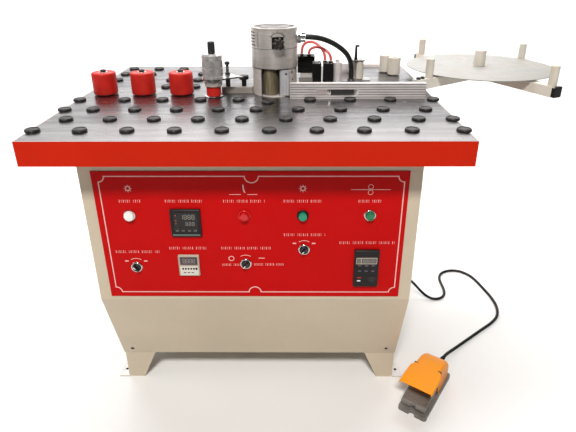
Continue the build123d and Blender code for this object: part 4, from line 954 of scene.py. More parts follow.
def make_panel_print():
    """Border line, caption ticks and switch symbols, raised by the thickness of the ink."""
    ink = Shape()
    print_line(ink, border_outline(), PRINT_LINE, 0, 0, closed=True)
    for z, first, last, height in LABEL_ROWS:
        tick_row(ink, z, first, last, height)
    # Rings with rays over the power lamp and the feed motor button.
    for x, z in ((-298, 690), (127, 690)):
        ring_mark(ink, x, z, 5.4, 2.6)
        for n in range(8):
            print_line(ink, [polar(reach, math.radians(45 * n)) for reach in (7.4, 10)], 1.2, x, z)
    # Knife over a gap in the tape.
    tape = ([(-34, -10), (-6, -10)], [(10, -10), (34, -10)])
    knife = [(0, 16), (1, 2), (4, -5)]
    for points, width in ((tape[0], 1.4), (tape[1], 1.4), (knife, 3.2)):
        print_line(ink, points, width, -18, 684)
    # Tape between two feed rollers.
    print_line(ink, [(-48, 0), (48, 0)], 1.4, 291, 687)
    ring_mark(ink, 291, 694.5, 6, 1.1)
    ring_mark(ink, 291, 679.5, 6, 1.1)
    # Throw of each rotary switch.
    for node in ("power_selector", "motor_selector", "function_selector"):
        x, _, z = centre(node)
        print_line(ink, arc(0, 0, 25, 58, 122), 1.4, x, z)
        if node != "function_selector":
            for side in (-1, 1):
                print_line(ink, [(side * 20, 17), (side * 29, 17)], 3.2, x, z)
    ring_mark(ink, -56, 492, 6.6, 1.8)
    print_line(ink, [(-8, 0), (8, 0)], 1.8, 22, 493)
    ink.piece("panel_print", PRINT, slot="white_plastic")


def bezel(x, z, material, name):
    """Round threaded bezel with a rolled front edge and an inner lip."""
    outline = [(14.75, 0), (14.75, 1.2), (14.3, 1.7), (14.3, 2.2), (14.6, 2.8), (14.4, 4.0), (13.6, 4.8)]
    outline += [(12.6, 5.0), (11.6, 4.7), (11.0, 3.9), (10.8, 2.0), (10.8, -32), (11, -32), (11, 0)]
    outline += [(14.75, 0)]
    how = {"slot": "bezel_chrome", "stands_for": ("button_bezels",)}
    turned(name, material, outline, on_panel(x, z), 56, **how)


def push_cap(node, name, material, body, proud):
    """Push button with a shallow dish and a soft rim; proud is how far it stands out."""
    x, _, z = centre(node)
    outline = [(0, -16), (4, -16), (4, -4.5), (10.4, -4.5), (10.4, proud - 1.6), (10.1, proud - 0.6)]
    outline += [(9.3, proud - 0.05), (8.4, proud), (7.6, proud - 0.35), (5.0, proud - 0.7), (0, proud - 0.85)]
    turned(name, material, outline, on_panel(x, z, 4.5), 48, body=body, stands_for=(node,))


def selector(node, name, body, rest_angle):
    """Rotary switch: a round base, a waisted finger bar and a white pointer let into it."""
    x, _, z = centre(node)
    knob = Shape()
    outline = [(0, -17), (4, -17), (4, 1), (10.3, 1), (10.3, 5.2), (9.8, 6.6), (8.6, 7.2), (0, 7.2)]
    knob.lathe(outline, on_panel(x, z), 48)
    upper = [(-9.6, 2.2), (-6, 2.9), (0, 2.5), (6, 2.9), (9.6, 2.2)]
    bar = upper + [(across, -up) for across, up in reversed(upper)]
    knob.prism(bar, 6.8, 14.6, on_panel(x, z, 0, rest_angle))
    knob.piece(name, SWITCH_BLACK, body, slot="black_plastic", stands_for=(node,), bevel=0.8, steps=3)
    toe = 180 if rest_angle < 90 else 0
    place = within(on_panel(x, z, 0, rest_angle + toe), 4.6, 0)
    line = rounded(8.4, 2.3, 1.1)
    slab(f"{name}_pointer", POINTER, line, 14.3, 14.9, place, body=body, slot="white_plastic", bevel=0.15)


def digit(shape, place, height, lit="abcdefg"):
    """Seven-segment digit from pointed bars."""
    width = height * 0.5
    half = height / 2
    bars = {
        "a": ((0, half), 0),
        "d": ((0, -half), 0),
        "g": ((0, 0), 0),
        "f": ((-width / 2, half / 2), 90),
        "b": ((width / 2, half / 2), 90),
        "e": ((-width / 2, -half / 2), 90),
        "c": ((width / 2, -half / 2), 90),
    }
    thick = height * 0.055
    for name in lit:
        (x, y), turn = bars[name]
        reach = (width if turn == 0 else half) / 2 - 0.25
        flat = reach - thick
        outline = [(-reach, 0), (-flat, thick), (flat, thick), (reach, 0), (flat, -thick), (-flat, -thick)]
        spot = within(place, x, y) @ Matrix.Rotation(math.radians(turn), 4, "Z")
        shape.prism(outline, 0, 0.12, spot)


def framed_box(node, name, material, corner, window, window_at):
    """Instrument front: a rounded frame round a sunk window, with its case behind the panel."""
    x, _, z = centre(node)
    lowest, highest = low(node) / MM, high(node) / MM
    width, height = highest.x - lowest.x, highest.z - lowest.z
    depth = PANEL_FACE - lowest.y
    wide, tall = window
    edge = rounded(width, height, corner)
    face = rounded(width - 2.4, height - 2.4, corner)
    hole = moved(rounded(wide, tall, 1.2), *window_at)
    hole_floor = moved(rounded(wide - 1, tall - 1, 1.2), *window_at)
    place = on_panel(x, z)
    levels = ((edge, 0), (edge, depth - 1.2), (face, depth), (hole, depth), (hole_floor, depth - 1.2))
    shape = Shape()
    shape.skin([raised(outline, place, level) for outline, level in levels], first_cap=True, last_cap=True)
    shape.prism(rounded(width - 10, height - 12, 2), PANEL_FACE - highest.y, -0.1, place)
    shape.piece(name, material, stands_for=(node,))
    return place, depth


def soft_key(shape, place, x, y, width, height, level):
    """Small pillow-shaped key."""
    smaller = min(width, height)
    foot = moved(rounded(width, height, smaller * 0.35), x, y)
    crown = moved(rounded(width - 0.8, height - 0.8, smaller * 0.3), x, y)
    rings = [raised(points, place, level + rise) for points, rise in ((foot, 0), (foot, 0.5), (crown, 0.9))]
    shape.skin(rings, first_cap=True, last_cap=True)


def make_thermostat():
    """Temperature controller: two rows of digits behind a dark window, four keys below."""
    place, depth = framed_box("temperature_controller", "thermostat_case", BLACK, 2.2, (62, 44), (0, 9))
    behind, front = depth - 1.1, depth - 0.7
    glass = rounded(60, 42, 1)
    slab("thermostat_window", WINDOW, glass, behind, front, within(place, 0, 9), slot="black_plastic")
    rows = Shape()
    for n in range(4):
        digit(rows, within(place, -9 + 9.5 * n, 18, depth - 0.68), 12, "abcdefg" if n else "bc")
    for n in range(3):
        digit(rows, within(place, 3 + 8 * n, -1, depth - 0.68), 9.5)
    rows.piece("thermostat_digits", LIGHT_GREY, slot="grey_plastic")
    lamps = Shape()
    for y in (22, 8, 0):
        lamps.lathe([(0, 0), (1.2, 0), (1.2, 0.3), (0, 0.5)], within(place, -24, y, depth - 0.7), 16)
    lamps.piece("thermostat_lamps", LIGHT_RED, slot="red_plastic")
    keys = Shape()
    for x in (-22, -7, 8, 23):
        soft_key(keys, place, x, -20, 9, 5, depth - 0.1)
    keys.piece("thermostat_keys", WINDOW_GREY, slot="grey_plastic")
    back, grey = depth - 0.05, "grey_plastic"
    strip = rounded(68, 3.6, 0.8)
    slab("thermostat_strip", TEAL, strip, back, depth + 0.25, within(place, 0, -32), slot=grey)
    rule = rounded(62, 0.9, 0.3)
    slab("thermostat_rule", WINDOW_GREY, rule, back, depth + 0.2, within(place, 0, -14.5), slot=grey)


def make_counter():
    """Counter: digits behind a purple window, over a light face with thumb wheels."""
    place, depth = framed_box("counter", "counter_case", COUNTER_GREY, 2, (46, 25), (0, 14))
    behind, front = depth - 1.1, depth - 0.7
    glass = rounded(44, 23, 1)
    slab("counter_window", PURPLE_WINDOW, glass, behind, front, within(place, 0, 14), slot="black_plastic")
    rows = Shape()
    for n in range(4):
        digit(rows, within(place, -12 + 8.2 * n, 14, depth - 0.68), 12)
    rows.piece("counter_digits", LIGHT_GREY, slot="grey_plastic")
    face = rounded(47, 27, 1.5)
    slab("counter_face", CREAM, face, depth - 0.05, depth + 0.4, within(place, 0, -14.5), slot="cream_paint")
    wheels = Shape()
    for n in range(5):
        soft_key(wheels, place, -16 + 7 * n, -8.5, 4.6, 5.6, depth + 0.2)
    soft_key(wheels, place, 18.5, -8.5, 5.5, 6.5, depth + 0.3)
    for x in (-12, -2, 8):
        soft_key(wheels, place, x, -20, 6, 2.2, depth + 0.2)
    wheels.piece("counter_keys", BLACK, slot="black_plastic", smooth=50)


def make_speed_controller():
    """Speed controller: a framed display over six keys, two tags and a dial."""
    place, depth = framed_box("speed_controller", "speed_case", BLACK, 2.5, (54, 21), (0, 24))
    trim = Shape()
    trim_place = within(place, 0, 0, depth - 1.0)
    trim.ribbon(moved(rounded(52, 17, 1.5), 0, 24), 2.0, trim_place, 0.5, closed=True)
    trim.ribbon([(-14, 16.5), (-14, 31.5)], 1.6, trim_place, 0.5)
    trim.piece("speed_window_frame", COUNTER_GREY, slot="grey_plastic")
    behind, front = depth - 1.15, depth - 0.85
    glass = rounded(50, 15, 1)
    slab("speed_window", WINDOW_GREY, glass, behind, front, within(place, 0, 24), slot="black_plastic")
    rows = Shape()
    for n in range(5):
        digit(rows, within(place, -7 + 6.6 * n, 24, depth - 0.84), 9)
    digit(rows, within(place, -19, 24, depth - 0.84), 9, "abged")
    rows.piece("speed_digits", LIGHT_GREY, slot="grey_plastic")
    keys = Shape()
    for y, wide in ((10.5, 9), (-6, 8)):
        for x in (-17, 0, 17):
            soft_key(keys, place, x, y, wide, 3.6, depth - 0.1)
    keys.piece("speed_keys", KEY_LILAC, slot="grey_plastic", smooth=50)
    top = depth + 0.25
    mark = rounded(11, 2.4, 1)
    slab("speed_mark_red", BUTTON_RED, mark, depth, top, within(place, -17, -26), slot="red_plastic")
    mark = rounded(9, 3.4, 0.9)
    slab("speed_mark_white", POINTER, mark, depth, top, within(place, -18, -36), slot="white_plastic")
    outline = [(10, 0), (10, 0.4), (9, 0.8), (0, 0.8)]
    turned("speed_dial", WINDOW, outline, within(place, 15, -30, depth), 40, slot="black_plastic")


def make_lamp():
    """Power lamp: a chrome ring round a domed white lens."""
    x, _, z = centre("power_lamp")
    outline = [(11, -32), (11, 0), (14.75, 0), (14.75, 2.6), (14.2, 3.8), (12.9, 4.2), (12.4, 4.2)]
    turned("lamp_bezel", CHROME, outline, on_panel(x, z), 56, slot="bezel_chrome", stands_for=("power_lamp",))
    outline = [(12.6, 3.6), (12.5, 9.5), (12.0, 11.4), (10.6, 12.6), (8, 12.95), (0, 13)]
    turned("lamp_lens", LAMP_WHITE, outline, on_panel(x, z), 56, slot="white_plastic")


def make_controls():
    """Bezels, push buttons and rotary switches."""
    bezel_looks = {
        "cut_button": BUTTON_RED,
        "feed_motor_button": BEZEL_BLACK,
        "feeder_button": CHROME,
        "power_selector": CHROME,
        "function_selector": CHROME,
        "motor_selector": CHROME,
    }
    for node, material in bezel_looks.items():
        x, _, z = centre(node)
        bezel(x, z, material, f"{node}_bezel")
    push_cap("cut_button", "cut_button_cap", BUTTON_RED, "cut_press", 9.0)
    push_cap("feed_motor_button", "feed_button_cap", BUTTON_GREEN, "feed_press", 8.0)
    push_cap("feeder_button", "feeder_button_cap", BUTTON_GREEN_DARK, "feeder_press", 8.0)
    for switch, rest_angle in (("power", 135), ("function", 45), ("motor", 45)):
        selector(f"{switch}_selector", f"{switch}_knob_bar", f"{switch}_knob", rest_angle)


# ---------------------------------------------------------------- table
TABLE_TOP = high("table_top").z / MM


def make_slide_buttons():
    """Black plastic sliding buttons, each with a rolled rim and a slightly sunk crown."""
    caps = Shape()
    outline = [(0, 0.05), (16.1, 0.05), (17, 0.7), (16.95, 2.6), (16.6, 4.2), (16.0, 5.6), (15.0, 6.6)]
    outline += [(13.8, 7.0), (12.8, 6.8), (12.0, 5.9), (11.2, 5.3), (9.6, 5.3), (8.8, 5.8), (7.8, 6.1)]
    outline += [(0, 6.3)]
    for lowest, highest in islands("support_buttons"):
        place = (lowest + highest) / 2
        caps.lathe(outline, stand(place.x, place.y, lowest.z), 32)
    caps.piece("slide_buttons", CAP_BLACK, slot="black_plastic", stands_for=("support_buttons",), smooth=60)


HEAD_SEGMENTS = 36


def hexagonal(corner):
    """Reach of a hexagon with the given corner radius, as a function of the angle."""
    def reach(angle):
        flat = (angle % (math.pi / 3)) - math.pi / 6
        return corner * math.cos(math.pi / 6) / math.cos(flat)

    return reach


def hex_socket_head(shape, place, radius, height, socket):
    """Socket head cap screw: a chamfered cylinder with a hexagon sunk in its top."""
    rings = [ring(place, 0, 0, 1)]
    for reach, level in ((radius, 0), (radius, height - 0.8), (radius - 0.8, height)):
        rings.append(ring(place, reach, level, HEAD_SEGMENTS))
    for level, share in ((height, 1.0), (height - socket * 0.9, 0.97)):
        rings.append(ring(place, hexagonal(socket * share), level, HEAD_SEGMENTS))
    shape.skin(rings, last_cap=True)


def hex_nut(shape, place, across, height, bore):
    """Hexagon nut with chamfered corners; across is its corner radius."""
    hexagon = hexagonal(across)
    rings = [ring(place, bore, 0, HEAD_SEGMENTS)]
    for level, share in ((0, 0.93), (height * 0.12, 1.0), (height * 0.88, 1.0), (height, 0.93)):
        rings.append(ring(place, lambda angle: min(hexagon(angle), across * share), level, HEAD_SEGMENTS))
    rings.append(ring(place, bore, height, HEAD_SEGMENTS))
    shape.skin(rings + rings[:1])


def cross_screw(shape, place, radius, height):
    """Pan-head screw with a cross recess."""
    segments = 32
    rings = [ring(place, 0, 0, 1)]
    for wide, tall in ((1, 0), (1, 0.35), (0.9, 0.75), (0.7, 0.95)):
        rings.append(ring(place, radius * wide, height * tall, segments))
    for level, arm, waist in ((height, 0.55, 0.2), (height * 0.35, 0.45, 0.14)):

        def reach(angle):
            on_arm = abs((angle + math.pi / 4) % (math.pi / 2) - math.pi / 4) < 0.3
            return radius * (arm if on_arm else waist)

        rings.append(ring(place, reach, level, segments))
    shape.skin(rings, last_cap=True)


COVER_FACE = high("rear_cover").y / MM
ADJUSTER = (-88, -20)
TABLE_SCREWS = [(-416, -136), (409, -139), (-350, 290), (400, 330)]
FOOT_BOLT = (370, 240, 88)
COVER_SCREW = 394
TRAY_CENTRE = (centre("tray_disc").x, centre("tray_disc").y)
TRAY_ANGLE = 36.5
CROSS_ANGLE = -65.5


def tray_point(angle, reach):
    """X and Y at the given direction and distance from the tray's middle."""
    across, along = polar(reach, math.radians(angle))
    return (TRAY_CENTRE[0] + across, TRAY_CENTRE[1] + along)


def adjusting_screw(shape):
    """Black pressure adjusting screw: a stem with a thread, a bush, a nut and a socket head."""
    place = stand(*ADJUSTER, TABLE_TOP)
    shape.lathe([(4, 0), (4, 81)], place, 24)
    thread = []
    for n in range(22):
        thread += [(4.0, 53 + 1.2 * n), (4.35, 53.6 + 1.2 * n)]
    shape.lathe(thread, place, 24)
    shape.lathe([(4, 18), (7, 18), (7, 47.5), (4, 47.5)], place, 32)
    hex_nut(shape, stand(*ADJUSTER, TABLE_TOP + 52), 7.5, 5, 4)
    hex_socket_head(shape, stand(*ADJUSTER, TABLE_TOP + 80.5), 7.5, 8, 3.4)


def make_fasteners():
    """Every screw that shows, in black or bright steel, in place of the CAD's plain ones."""
    black = Shape()
    bright = Shape()
    top = TABLE_TOP
    for node in ("press_roller_left", "press_roller_middle", "press_roller_right"):
        x, y, _ = centre(node)
        roller_top = high(node).z / MM
        bright.lathe([(0, 0), (23.4, 0), (24, 0.5), (24, 1.6), (23.6, 2), (6, 2)], stand(x, y, top), 56)
        washer = [(0, 0), (12.4, 0), (12.6, 0.9), (12, 1.2), (0, 1.2)]
        bright.lathe(washer, stand(x, y, roller_top - 0.7), 40)
        bright.lathe([(6, -16), (6, 0)], stand(x, y, roller_top), 20)
        hex_socket_head(black, stand(x, y, roller_top + 0.5, turn=20), 7.8, 5.8, 3.6)
    for node in ("guide_roller_front", "guide_roller_rear"):
        x, y, _ = centre(node)
        bright.lathe([(0, 0), (12, 0), (12, 2), (0, 2)], stand(x, y, top), 32)
        hex_socket_head(black, stand(x, y, high(node).z / MM - 6.7, turn=10), 7, 5, 3.2)
    adjusting_screw(black)
    flush = [(0, -0.6), (3.2, -0.6), (3.4, -0.1), (5.6, 0.02), (6.05, -0.4), (6.05, -4)]
    for x, y in TABLE_SCREWS:
        bright.lathe(flush, stand(x, y, top), 32)
    for reach in (296, 278):
        hex_socket_head(black, stand(*tray_point(TRAY_ANGLE + 180, reach), top + 30), 6.5, 6, 3)
    bolt_x, bolt_y, bolt_z = FOOT_BOLT
    for side in (-1, 1):
        for along in (-bolt_y, bolt_y):
            black.lathe([(4, 0), (4, 16), (0, 16)], stand(side * bolt_x, along, bolt_z + 6), 20)
            hex_nut(bright, stand(side * bolt_x, along, bolt_z), 7, 6, 3.9)
        for row in range(4):
            z = low("rear_cover").z / MM + 12 + 228 * row
            cross_screw(bright, stand(side * COVER_SCREW, COVER_FACE, z, "Y"), 5, 2.8)
    black.piece("black_screws", BLACK_STEEL, slot="black_steel", stands_for=("bolts",), smooth=32)
    bright.piece("bright_screws", NICKEL, slot="machined_steel", smooth=32)


# ---------------------------------------------------------------- press rollers and drive unit
def make_press_rollers():
    """Cast polyurethane rollers with soft edges, a moulded ring on top and a slight barrel."""
    for side in ("left", "middle", "right"):
        node = f"press_roller_{side}"
        x, y, _ = centre(node)
        height = (high(node).z - low(node).z) / MM
        outline = [(6.2, 0), (29, 0), (31.6, 0.5), (33.2, 1.7), (33.9, 3.6)]
        outline += [(34, height * 0.3), (34, height * 0.7), (33.9, height - 4.4), (33.2, height - 2.2)]
        outline += [(31.8, height - 0.8), (29.6, height - 0.15), (27, height), (15.5, height)]
        outline += [(14.6, height - 0.7), (6.2, height - 0.7), (6.2, 0)]
        place = stand(x, y, low(node).z / MM)
        how = {"body": f"{side}_press", "slot": "red_rubber", "stands_for": (node,)}
        turned(f"{node}_rubber", ROLLER_RED, outline, place, 72, **how)


def make_drive_unit():
    """Drive roller with its shaft, bearing housing, spindle cap and clamp knob."""
    x, y, _ = centre("drive_roller")
    place = stand(x, y, TABLE_TOP)
    shaft = Shape()
    pulley = [(0, -52), (23.5, -52), (25, -51), (25, -49), (22.5, -48), (22.5, -42), (25, -41), (25, -38)]
    pulley += [(10, -38)]
    shaft.lathe(pulley, place, 64)
    shaft.lathe([(10, -39), (10, 48)], place, 32)
    shaft.lathe([(10, 0.4), (26.4, 0.4), (27.5, 1.2), (27.5, 2.8), (26.4, 3.6), (10, 3.6)], place, 64)
    shaft.piece("drive_spindle", GROUND, "drive", slot="machined_steel", stands_for=("drive_shaft",))
    knurl = 0.55
    outline = [(10, 30.3), (23.4, 30.3), (25.2, 31.4), (25.2, 33.2), (24.2, 33.9), (24.6, 34.4, knurl)]
    outline += [(24.6, 43.6, knurl), (24.2, 44.2), (25.5, 44.9), (25.5, 46.4), (24.8, 47), (10, 47)]
    turned("drive_collar", TURNED, outline, place, 240, 40, body="drive", slot="machined_steel", smooth=25)
    outline = [(10, 4), (19.6, 4), (20.5, 4.9), (20.5, 29.1), (19.6, 30), (10, 30)]
    how = {"body": "drive", "slot": "red_rubber", "stands_for": ("drive_roller",)}
    turned("drive_rubber", ROLLER_RED, outline, place, 64, **how)
    flute = 0.35
    outline = [(8.4, 52), (28.6, 52), (29.2, 52.6), (29.2, 53.2), (29.2, 57.4), (29.2, 58), (28.6, 58.6)]
    outline += [(28.6, 59.2, flute), (28.6, 60, flute), (28.6, 80, flute), (28.6, 80.8, flute)]
    outline += [(28.0, 81.2), (28.0, 82.8)]
    outline += [(28.6, 83.2, flute), (28.6, 84, flute), (28.6, 101, flute), (28.6, 101.8, flute)]
    outline += [(28.0, 102.2), (28.0, 104)]
    outline += [(29, 104.4), (29, 105.2), (29, 114.8), (29, 115.6), (25.4, 119.4), (25, 119.9), (24.2, 120)]
    outline += [(15, 120), (14, 118.6), (9.6, 118.6), (8.4, 119.6), (8.4, 90)]
    how = {"slot": "machined_aluminium", "stands_for": ("bearing_housing",), "smooth": 25}
    turned("bearing_sleeve", HOUSING, outline, place, 288, 72, **how)
    outline = [(29.5, 48.4), (31.0, 48.8), (31.2, 50), (31.0, 51.2), (29.5, 51.6)]
    turned("arm_rim", CHROME, outline, place, 64, slot="machined_steel")
    flute = 0.3
    outline = [(0, 96), (7.9, 96), (7.9, 120.3), (9.8, 120.3), (10, 121), (10, 123), (9.75, 123.6, flute)]
    outline += [(9.75, 148.6, flute), (9.8, 149.6), (8.8, 151.8), (5.2, 152.2), (4.4, 151.4), (4.2, 145)]
    outline += [(0, 145)]
    how = {"body": "spindle", "slot": "black_steel", "stands_for": ("spindle_cap",), "smooth": 25}
    turned("spindle_screw", BLACK_STEEL, outline, place, 168, 28, **how)
    x, y, _ = centre("clamp_knob")
    outline = [(0, 2), (4.9, 2), (4.9, 18.3), (6.8, 18.5), (7, 19.3), (7, 36), (7.4, 37), (13.3, 37.2)]
    outline += [(14, 37.9), (14, 38.6), (14, 45.4), (13.9, 46.2), (12.6, 48.2), (11.2, 48.9), (10.4, 49)]
    outline += [(0, 49)]
    how = {"body": "clamp", "slot": "black_plastic", "stands_for": ("clamp_knob",)}
    turned("clamp_mushroom", BLACK, outline, stand(x, y, TABLE_TOP), 48, **how)


# ---------------------------------------------------------------- glue pot
POT_X = centre("heater_ring").x
POT_Y = centre("heater_ring").y
POT_RADIUS = 66
BODY_RADIUS = 63.5
KNOB_ANGLE = -80
KNOB_HEIGHT = 149


def on_pot(angle, height, proud=0.0):
    """Local frame on the pot's side: X round it, Y up and Z outwards."""
    turn = math.radians(angle)
    outward = Vector((math.cos(turn), math.sin(turn), 0))
    across = Vector((-outward.y, outward.x, 0))
    up = Vector((0, 0, 1))
    place = Vector((POT_X, POT_Y, TABLE_TOP + height)) + outward * (POT_RADIUS + proud)
    axes = Matrix((across, up, outward)).transposed().to_4x4()
    return Matrix.Translation(place) @ axes


def make_lid():
    """Turned lid with a raised rim, a duller recessed top and three screws."""
    top = high("pot_lid").z / MM - TABLE_TOP
    place = stand(POT_X, POT_Y, TABLE_TOP)
    outline = [(0, top - 10), (57.6, top - 10), (57.6, top - 5), (64.9, top - 4.9), (65.7, top - 4.2)]
    outline += [(65.8, top - 1.2), (64.6, top), (59, top), (58.4, top - 0.6), (58.2, top - 2.6)]
    how = {"body": "lid", "slot": "machined_aluminium"}
    turned("pot_lid_rim", TURNED, outline, place, 96, stands_for=("pot_lid",), **how)
    outline = [(58.3, top - 2.6), (44, top - 2.7), (43.2, top - 2.2), (42.8, top - 0.7), (41.6, top - 0.4)]
    outline += [(20, top - 0.4), (19, top - 1.4), (9, top - 1.6), (8.4, top - 0.6), (0, top - 0.6)]
    turned("pot_lid_top", LID, outline, place, 96, **how)
    screws = Shape()
    outline = [(3.6, 0.05), (3.6, 0.35), (3.1, 0.5), (2.2, 0.5), (2.0, -1.2), (0, -1.2)]
    for angle in (20, 140, 260):
        across, along = polar(51, math.radians(angle))
        screws.lathe(outline, stand(POT_X + across, POT_Y + along, TABLE_TOP + top - 2.6), 24)
    screws.piece("pot_lid_screws", BLACK_STEEL, "lid", slot="black_steel")


def wrapped_line(shape, first, second, width):
    """Short line on the pot's round side, between two points beside the flow knob's middle."""
    middle_x = (first[0] + second[0]) / 2
    middle_y = (first[1] + second[1]) / 2
    place = on_pot(KNOB_ANGLE + math.degrees(middle_x / POT_RADIUS), KNOB_HEIGHT + middle_y)
    shape.ribbon(moved([first, second], -middle_x, -middle_y), width, place, 0.12)


def make_flow_knob():
    """Seven-lobed flow knob in a square pocket lined with painted shade, under a curved scale."""
    outline = [(0, -13.5), (4, -13.5), (4, -0.4), (9, 0), (13, 0.6, 1.6), (13.8, 3, 2.7), (13.9, 13.6, 2.8)]
    outline += [(13.2, 16, 2.4), (11.4, 17.4, 1.5), (8, 17.9, 0.4), (5, 17.7), (4.2, 17.1), (0, 17.1)]
    place = on_pot(KNOB_ANGLE, KNOB_HEIGHT, 8)
    how = {"body": "flow", "slot": "black_plastic", "stands_for": ("flow_knob",), "smooth": 60}
    turned("flow_star", STAR_BLACK, outline, place, 168, 7, math.pi, **how)
    # The pocket's black lining is painted shade for the recess round the knob.
    pocket = Shape()
    walls = rounded(32.6, 31.6, 1)
    place = on_pot(KNOB_ANGLE, KNOB_HEIGHT, -5.9)
    pocket.prism(walls, -0.2, 0.1, place)
    rings = []
    for share, level in ((1.0, 0.1), (1.0, 5.0), (0.94, 5.0), (0.94, 0.1)):
        rings.append([place @ Vector((x * share, y * share, level)) for x, y in walls])
    pocket.skin(rings + rings[:1])
    pocket.piece("flow_pocket", SHADE_AND_INK, slot="black_steel")
    scale = Shape()
    for n in range(13):
        angle = math.radians(150 - 10 * n)
        reaches = (21, 24.5 if n % 3 else 27)
        ends = [(reach * math.cos(angle), 6 + reach * math.sin(angle) * 0.95) for reach in reaches]
        wrapped_line(scale, *ends, 1.3)
    base_line = arc(0, 6, 20, 20, 160, 28)
    for first, second in zip(base_line, base_line[1:]):
        wrapped_line(scale, first, second, 1.2)
    scale.piece("flow_scale", SHADE_AND_INK, slot="black_steel")


SEAM_HEIGHTS = (77.6, 131.6)
SIDE_SCREWS = [(-38.5, 66, 4.2), (-36, 46, 2.4), (-36, 28, 2.4)]


def make_pot_details():
    """Seams round the pot, painted shade down both edges of its window and screws beside it."""
    seam = Shape()
    for height in SEAM_HEIGHTS:
        outline = moved([(-0.35, -0.6), (0.05, -0.6), (0.05, 0.6), (-0.35, 0.6)], POT_RADIUS, height)
        seam.lathe(outline, stand(POT_X, POT_Y, TABLE_TOP), 96)
    seam.piece("pot_seams", DARK_STEEL_AND_SHADE, slot="dark_steel")
    # Dark strips down both sides of the window are painted shade.
    edges = Shape()
    edges.block((13.6, -77.6, TABLE_TOP + 4), (16.2, -60, TABLE_TOP + 76))
    edges.block((63.2, -79.6, TABLE_TOP + 4), (65.0, -60, TABLE_TOP + 76))
    edges.piece("pot_window_side_shade", DARK_STEEL_AND_SHADE, slot="dark_steel", bevel=0.5)
    screws = Shape()
    for angle, height, radius in SIDE_SCREWS:
        outline = [(radius, -0.4), (radius, 0.5), (radius * 0.86, 0.8), (radius * 0.6, 0.8)]
        outline += [(radius * 0.55, -0.3), (0, -0.3)]
        screws.lathe(outline, on_pot(angle, height, BODY_RADIUS - POT_RADIUS), 28)
    screws.piece("pot_side_screws", BLACK_STEEL, slot="black_steel")


# ---------------------------------------------------------------- pneumatics and feeder
def layers(shape, width, depth, place, levels):
    """Stack of rounded plates: levels holds (how much smaller, corner radius, bottom, top)."""
    for inset, corner, bottom, top in levels:
        shape.prism(rounded(width - inset, depth - inset, corner), bottom, top, place)


def compact_cylinder(shape, lowest, highest):
    """Black anodised body with sensor grooves down its sides and stepped end plates."""
    width, depth, _ = highest - lowest
    half_w, half_d = width / 2, depth / 2
    slot = [(-3.2, 0), (-2.2, 2.2), (2.2, 2.2), (3.2, 0)]
    outline = []
    for slot_middle in (-half_w * 0.35, half_w * 0.35):
        outline += [(px + slot_middle, -half_d + py) for px, py in slot]
    outline += [(half_w - 1.5, -half_d), (half_w, -half_d + 1.5)]
    outline += [(half_w - py, px) for px, py in slot]
    outline += [(half_w, half_d - 1.5), (half_w - 1.5, half_d)]
    outline += [(px, half_d - py) for px, py in reversed(slot)]
    outline += [(-half_w + 1.5, half_d), (-half_w, half_d - 1.5)]
    outline += [(-half_w + py, px) for px, py in reversed(slot)]
    outline += [(-half_w, -half_d + 1.5), (-half_w + 1.5, -half_d)]
    place = Matrix.Translation(((lowest.x + highest.x) / 2, (lowest.y + highest.y) / 2, 0))
    bottom, top = lowest.z, highest.z
    shape.prism(outline, bottom + 8, top - 9, place)
    layers(shape, width, depth, place, [(0, 2.4, bottom, bottom + 7.4), (0, 2.4, top - 8.4, top)])
    layers(shape, width, depth, place, [(2, 2, bottom + 7, bottom + 8.4), (2, 2, top - 9.4, top - 8)])


def air_valve(shape, lowest, highest):
    """Valve body in three blocks, with a narrow gasket between each two."""
    width, depth, _ = highest - lowest
    place = Matrix.Translation(((lowest.x + highest.x) / 2, (lowest.y + highest.y) / 2, 0))
    bottom, top = lowest.z, highest.z
    levels = [(0, 2, bottom, bottom + 14), (3, 2, bottom + 13.8, bottom + 16)]
    levels += [(0, 3, bottom + 15.8, top - 12), (3, 2, top - 12.2, top - 10.4), (0, 2, top - 10.6, top)]
    layers(shape, width, depth, place, levels)


def corner_screws(shape, lowest, highest, inset, size):
    """Four small socket head screws in the top of a block."""
    across, along = inset
    for x in (lowest.x + across, highest.x - across):
        for y in (lowest.y + along, highest.y - along):
            hex_socket_head(shape, stand(x, y, highest.z - 0.2), *size)


def push_fitting(body_shape, collar_shape, x, y, z):
    """Push-in air fitting: hexagon, body and a release collar."""
    hex_nut(body_shape, stand(x, y, z - 0.2), 6.2, 3.0, 3.9)
    outline = [(4.0, 2.4), (5.4, 2.6), (5.4, 4.4), (4.9, 5.0), (4.0, 5.0)]
    body_shape.lathe(outline, stand(x, y, z), 28)
    collar_shape.lathe([(4.0, 4.6), (5.1, 4.8), (5.1, 6.0), (4.6, 6.5), (4.0, 6.5)], stand(x, y, z), 28)


CLAMP_BLOCK = (Vector((160, -10, 846)), Vector((186, 32, 920)))
CUTTER_BLOCK = (Vector((192, -10, 846)), Vector((221, 32, 920)))
VALVE_BLOCK = (Vector((117, 44, 883)), Vector((168, 86, 932)))


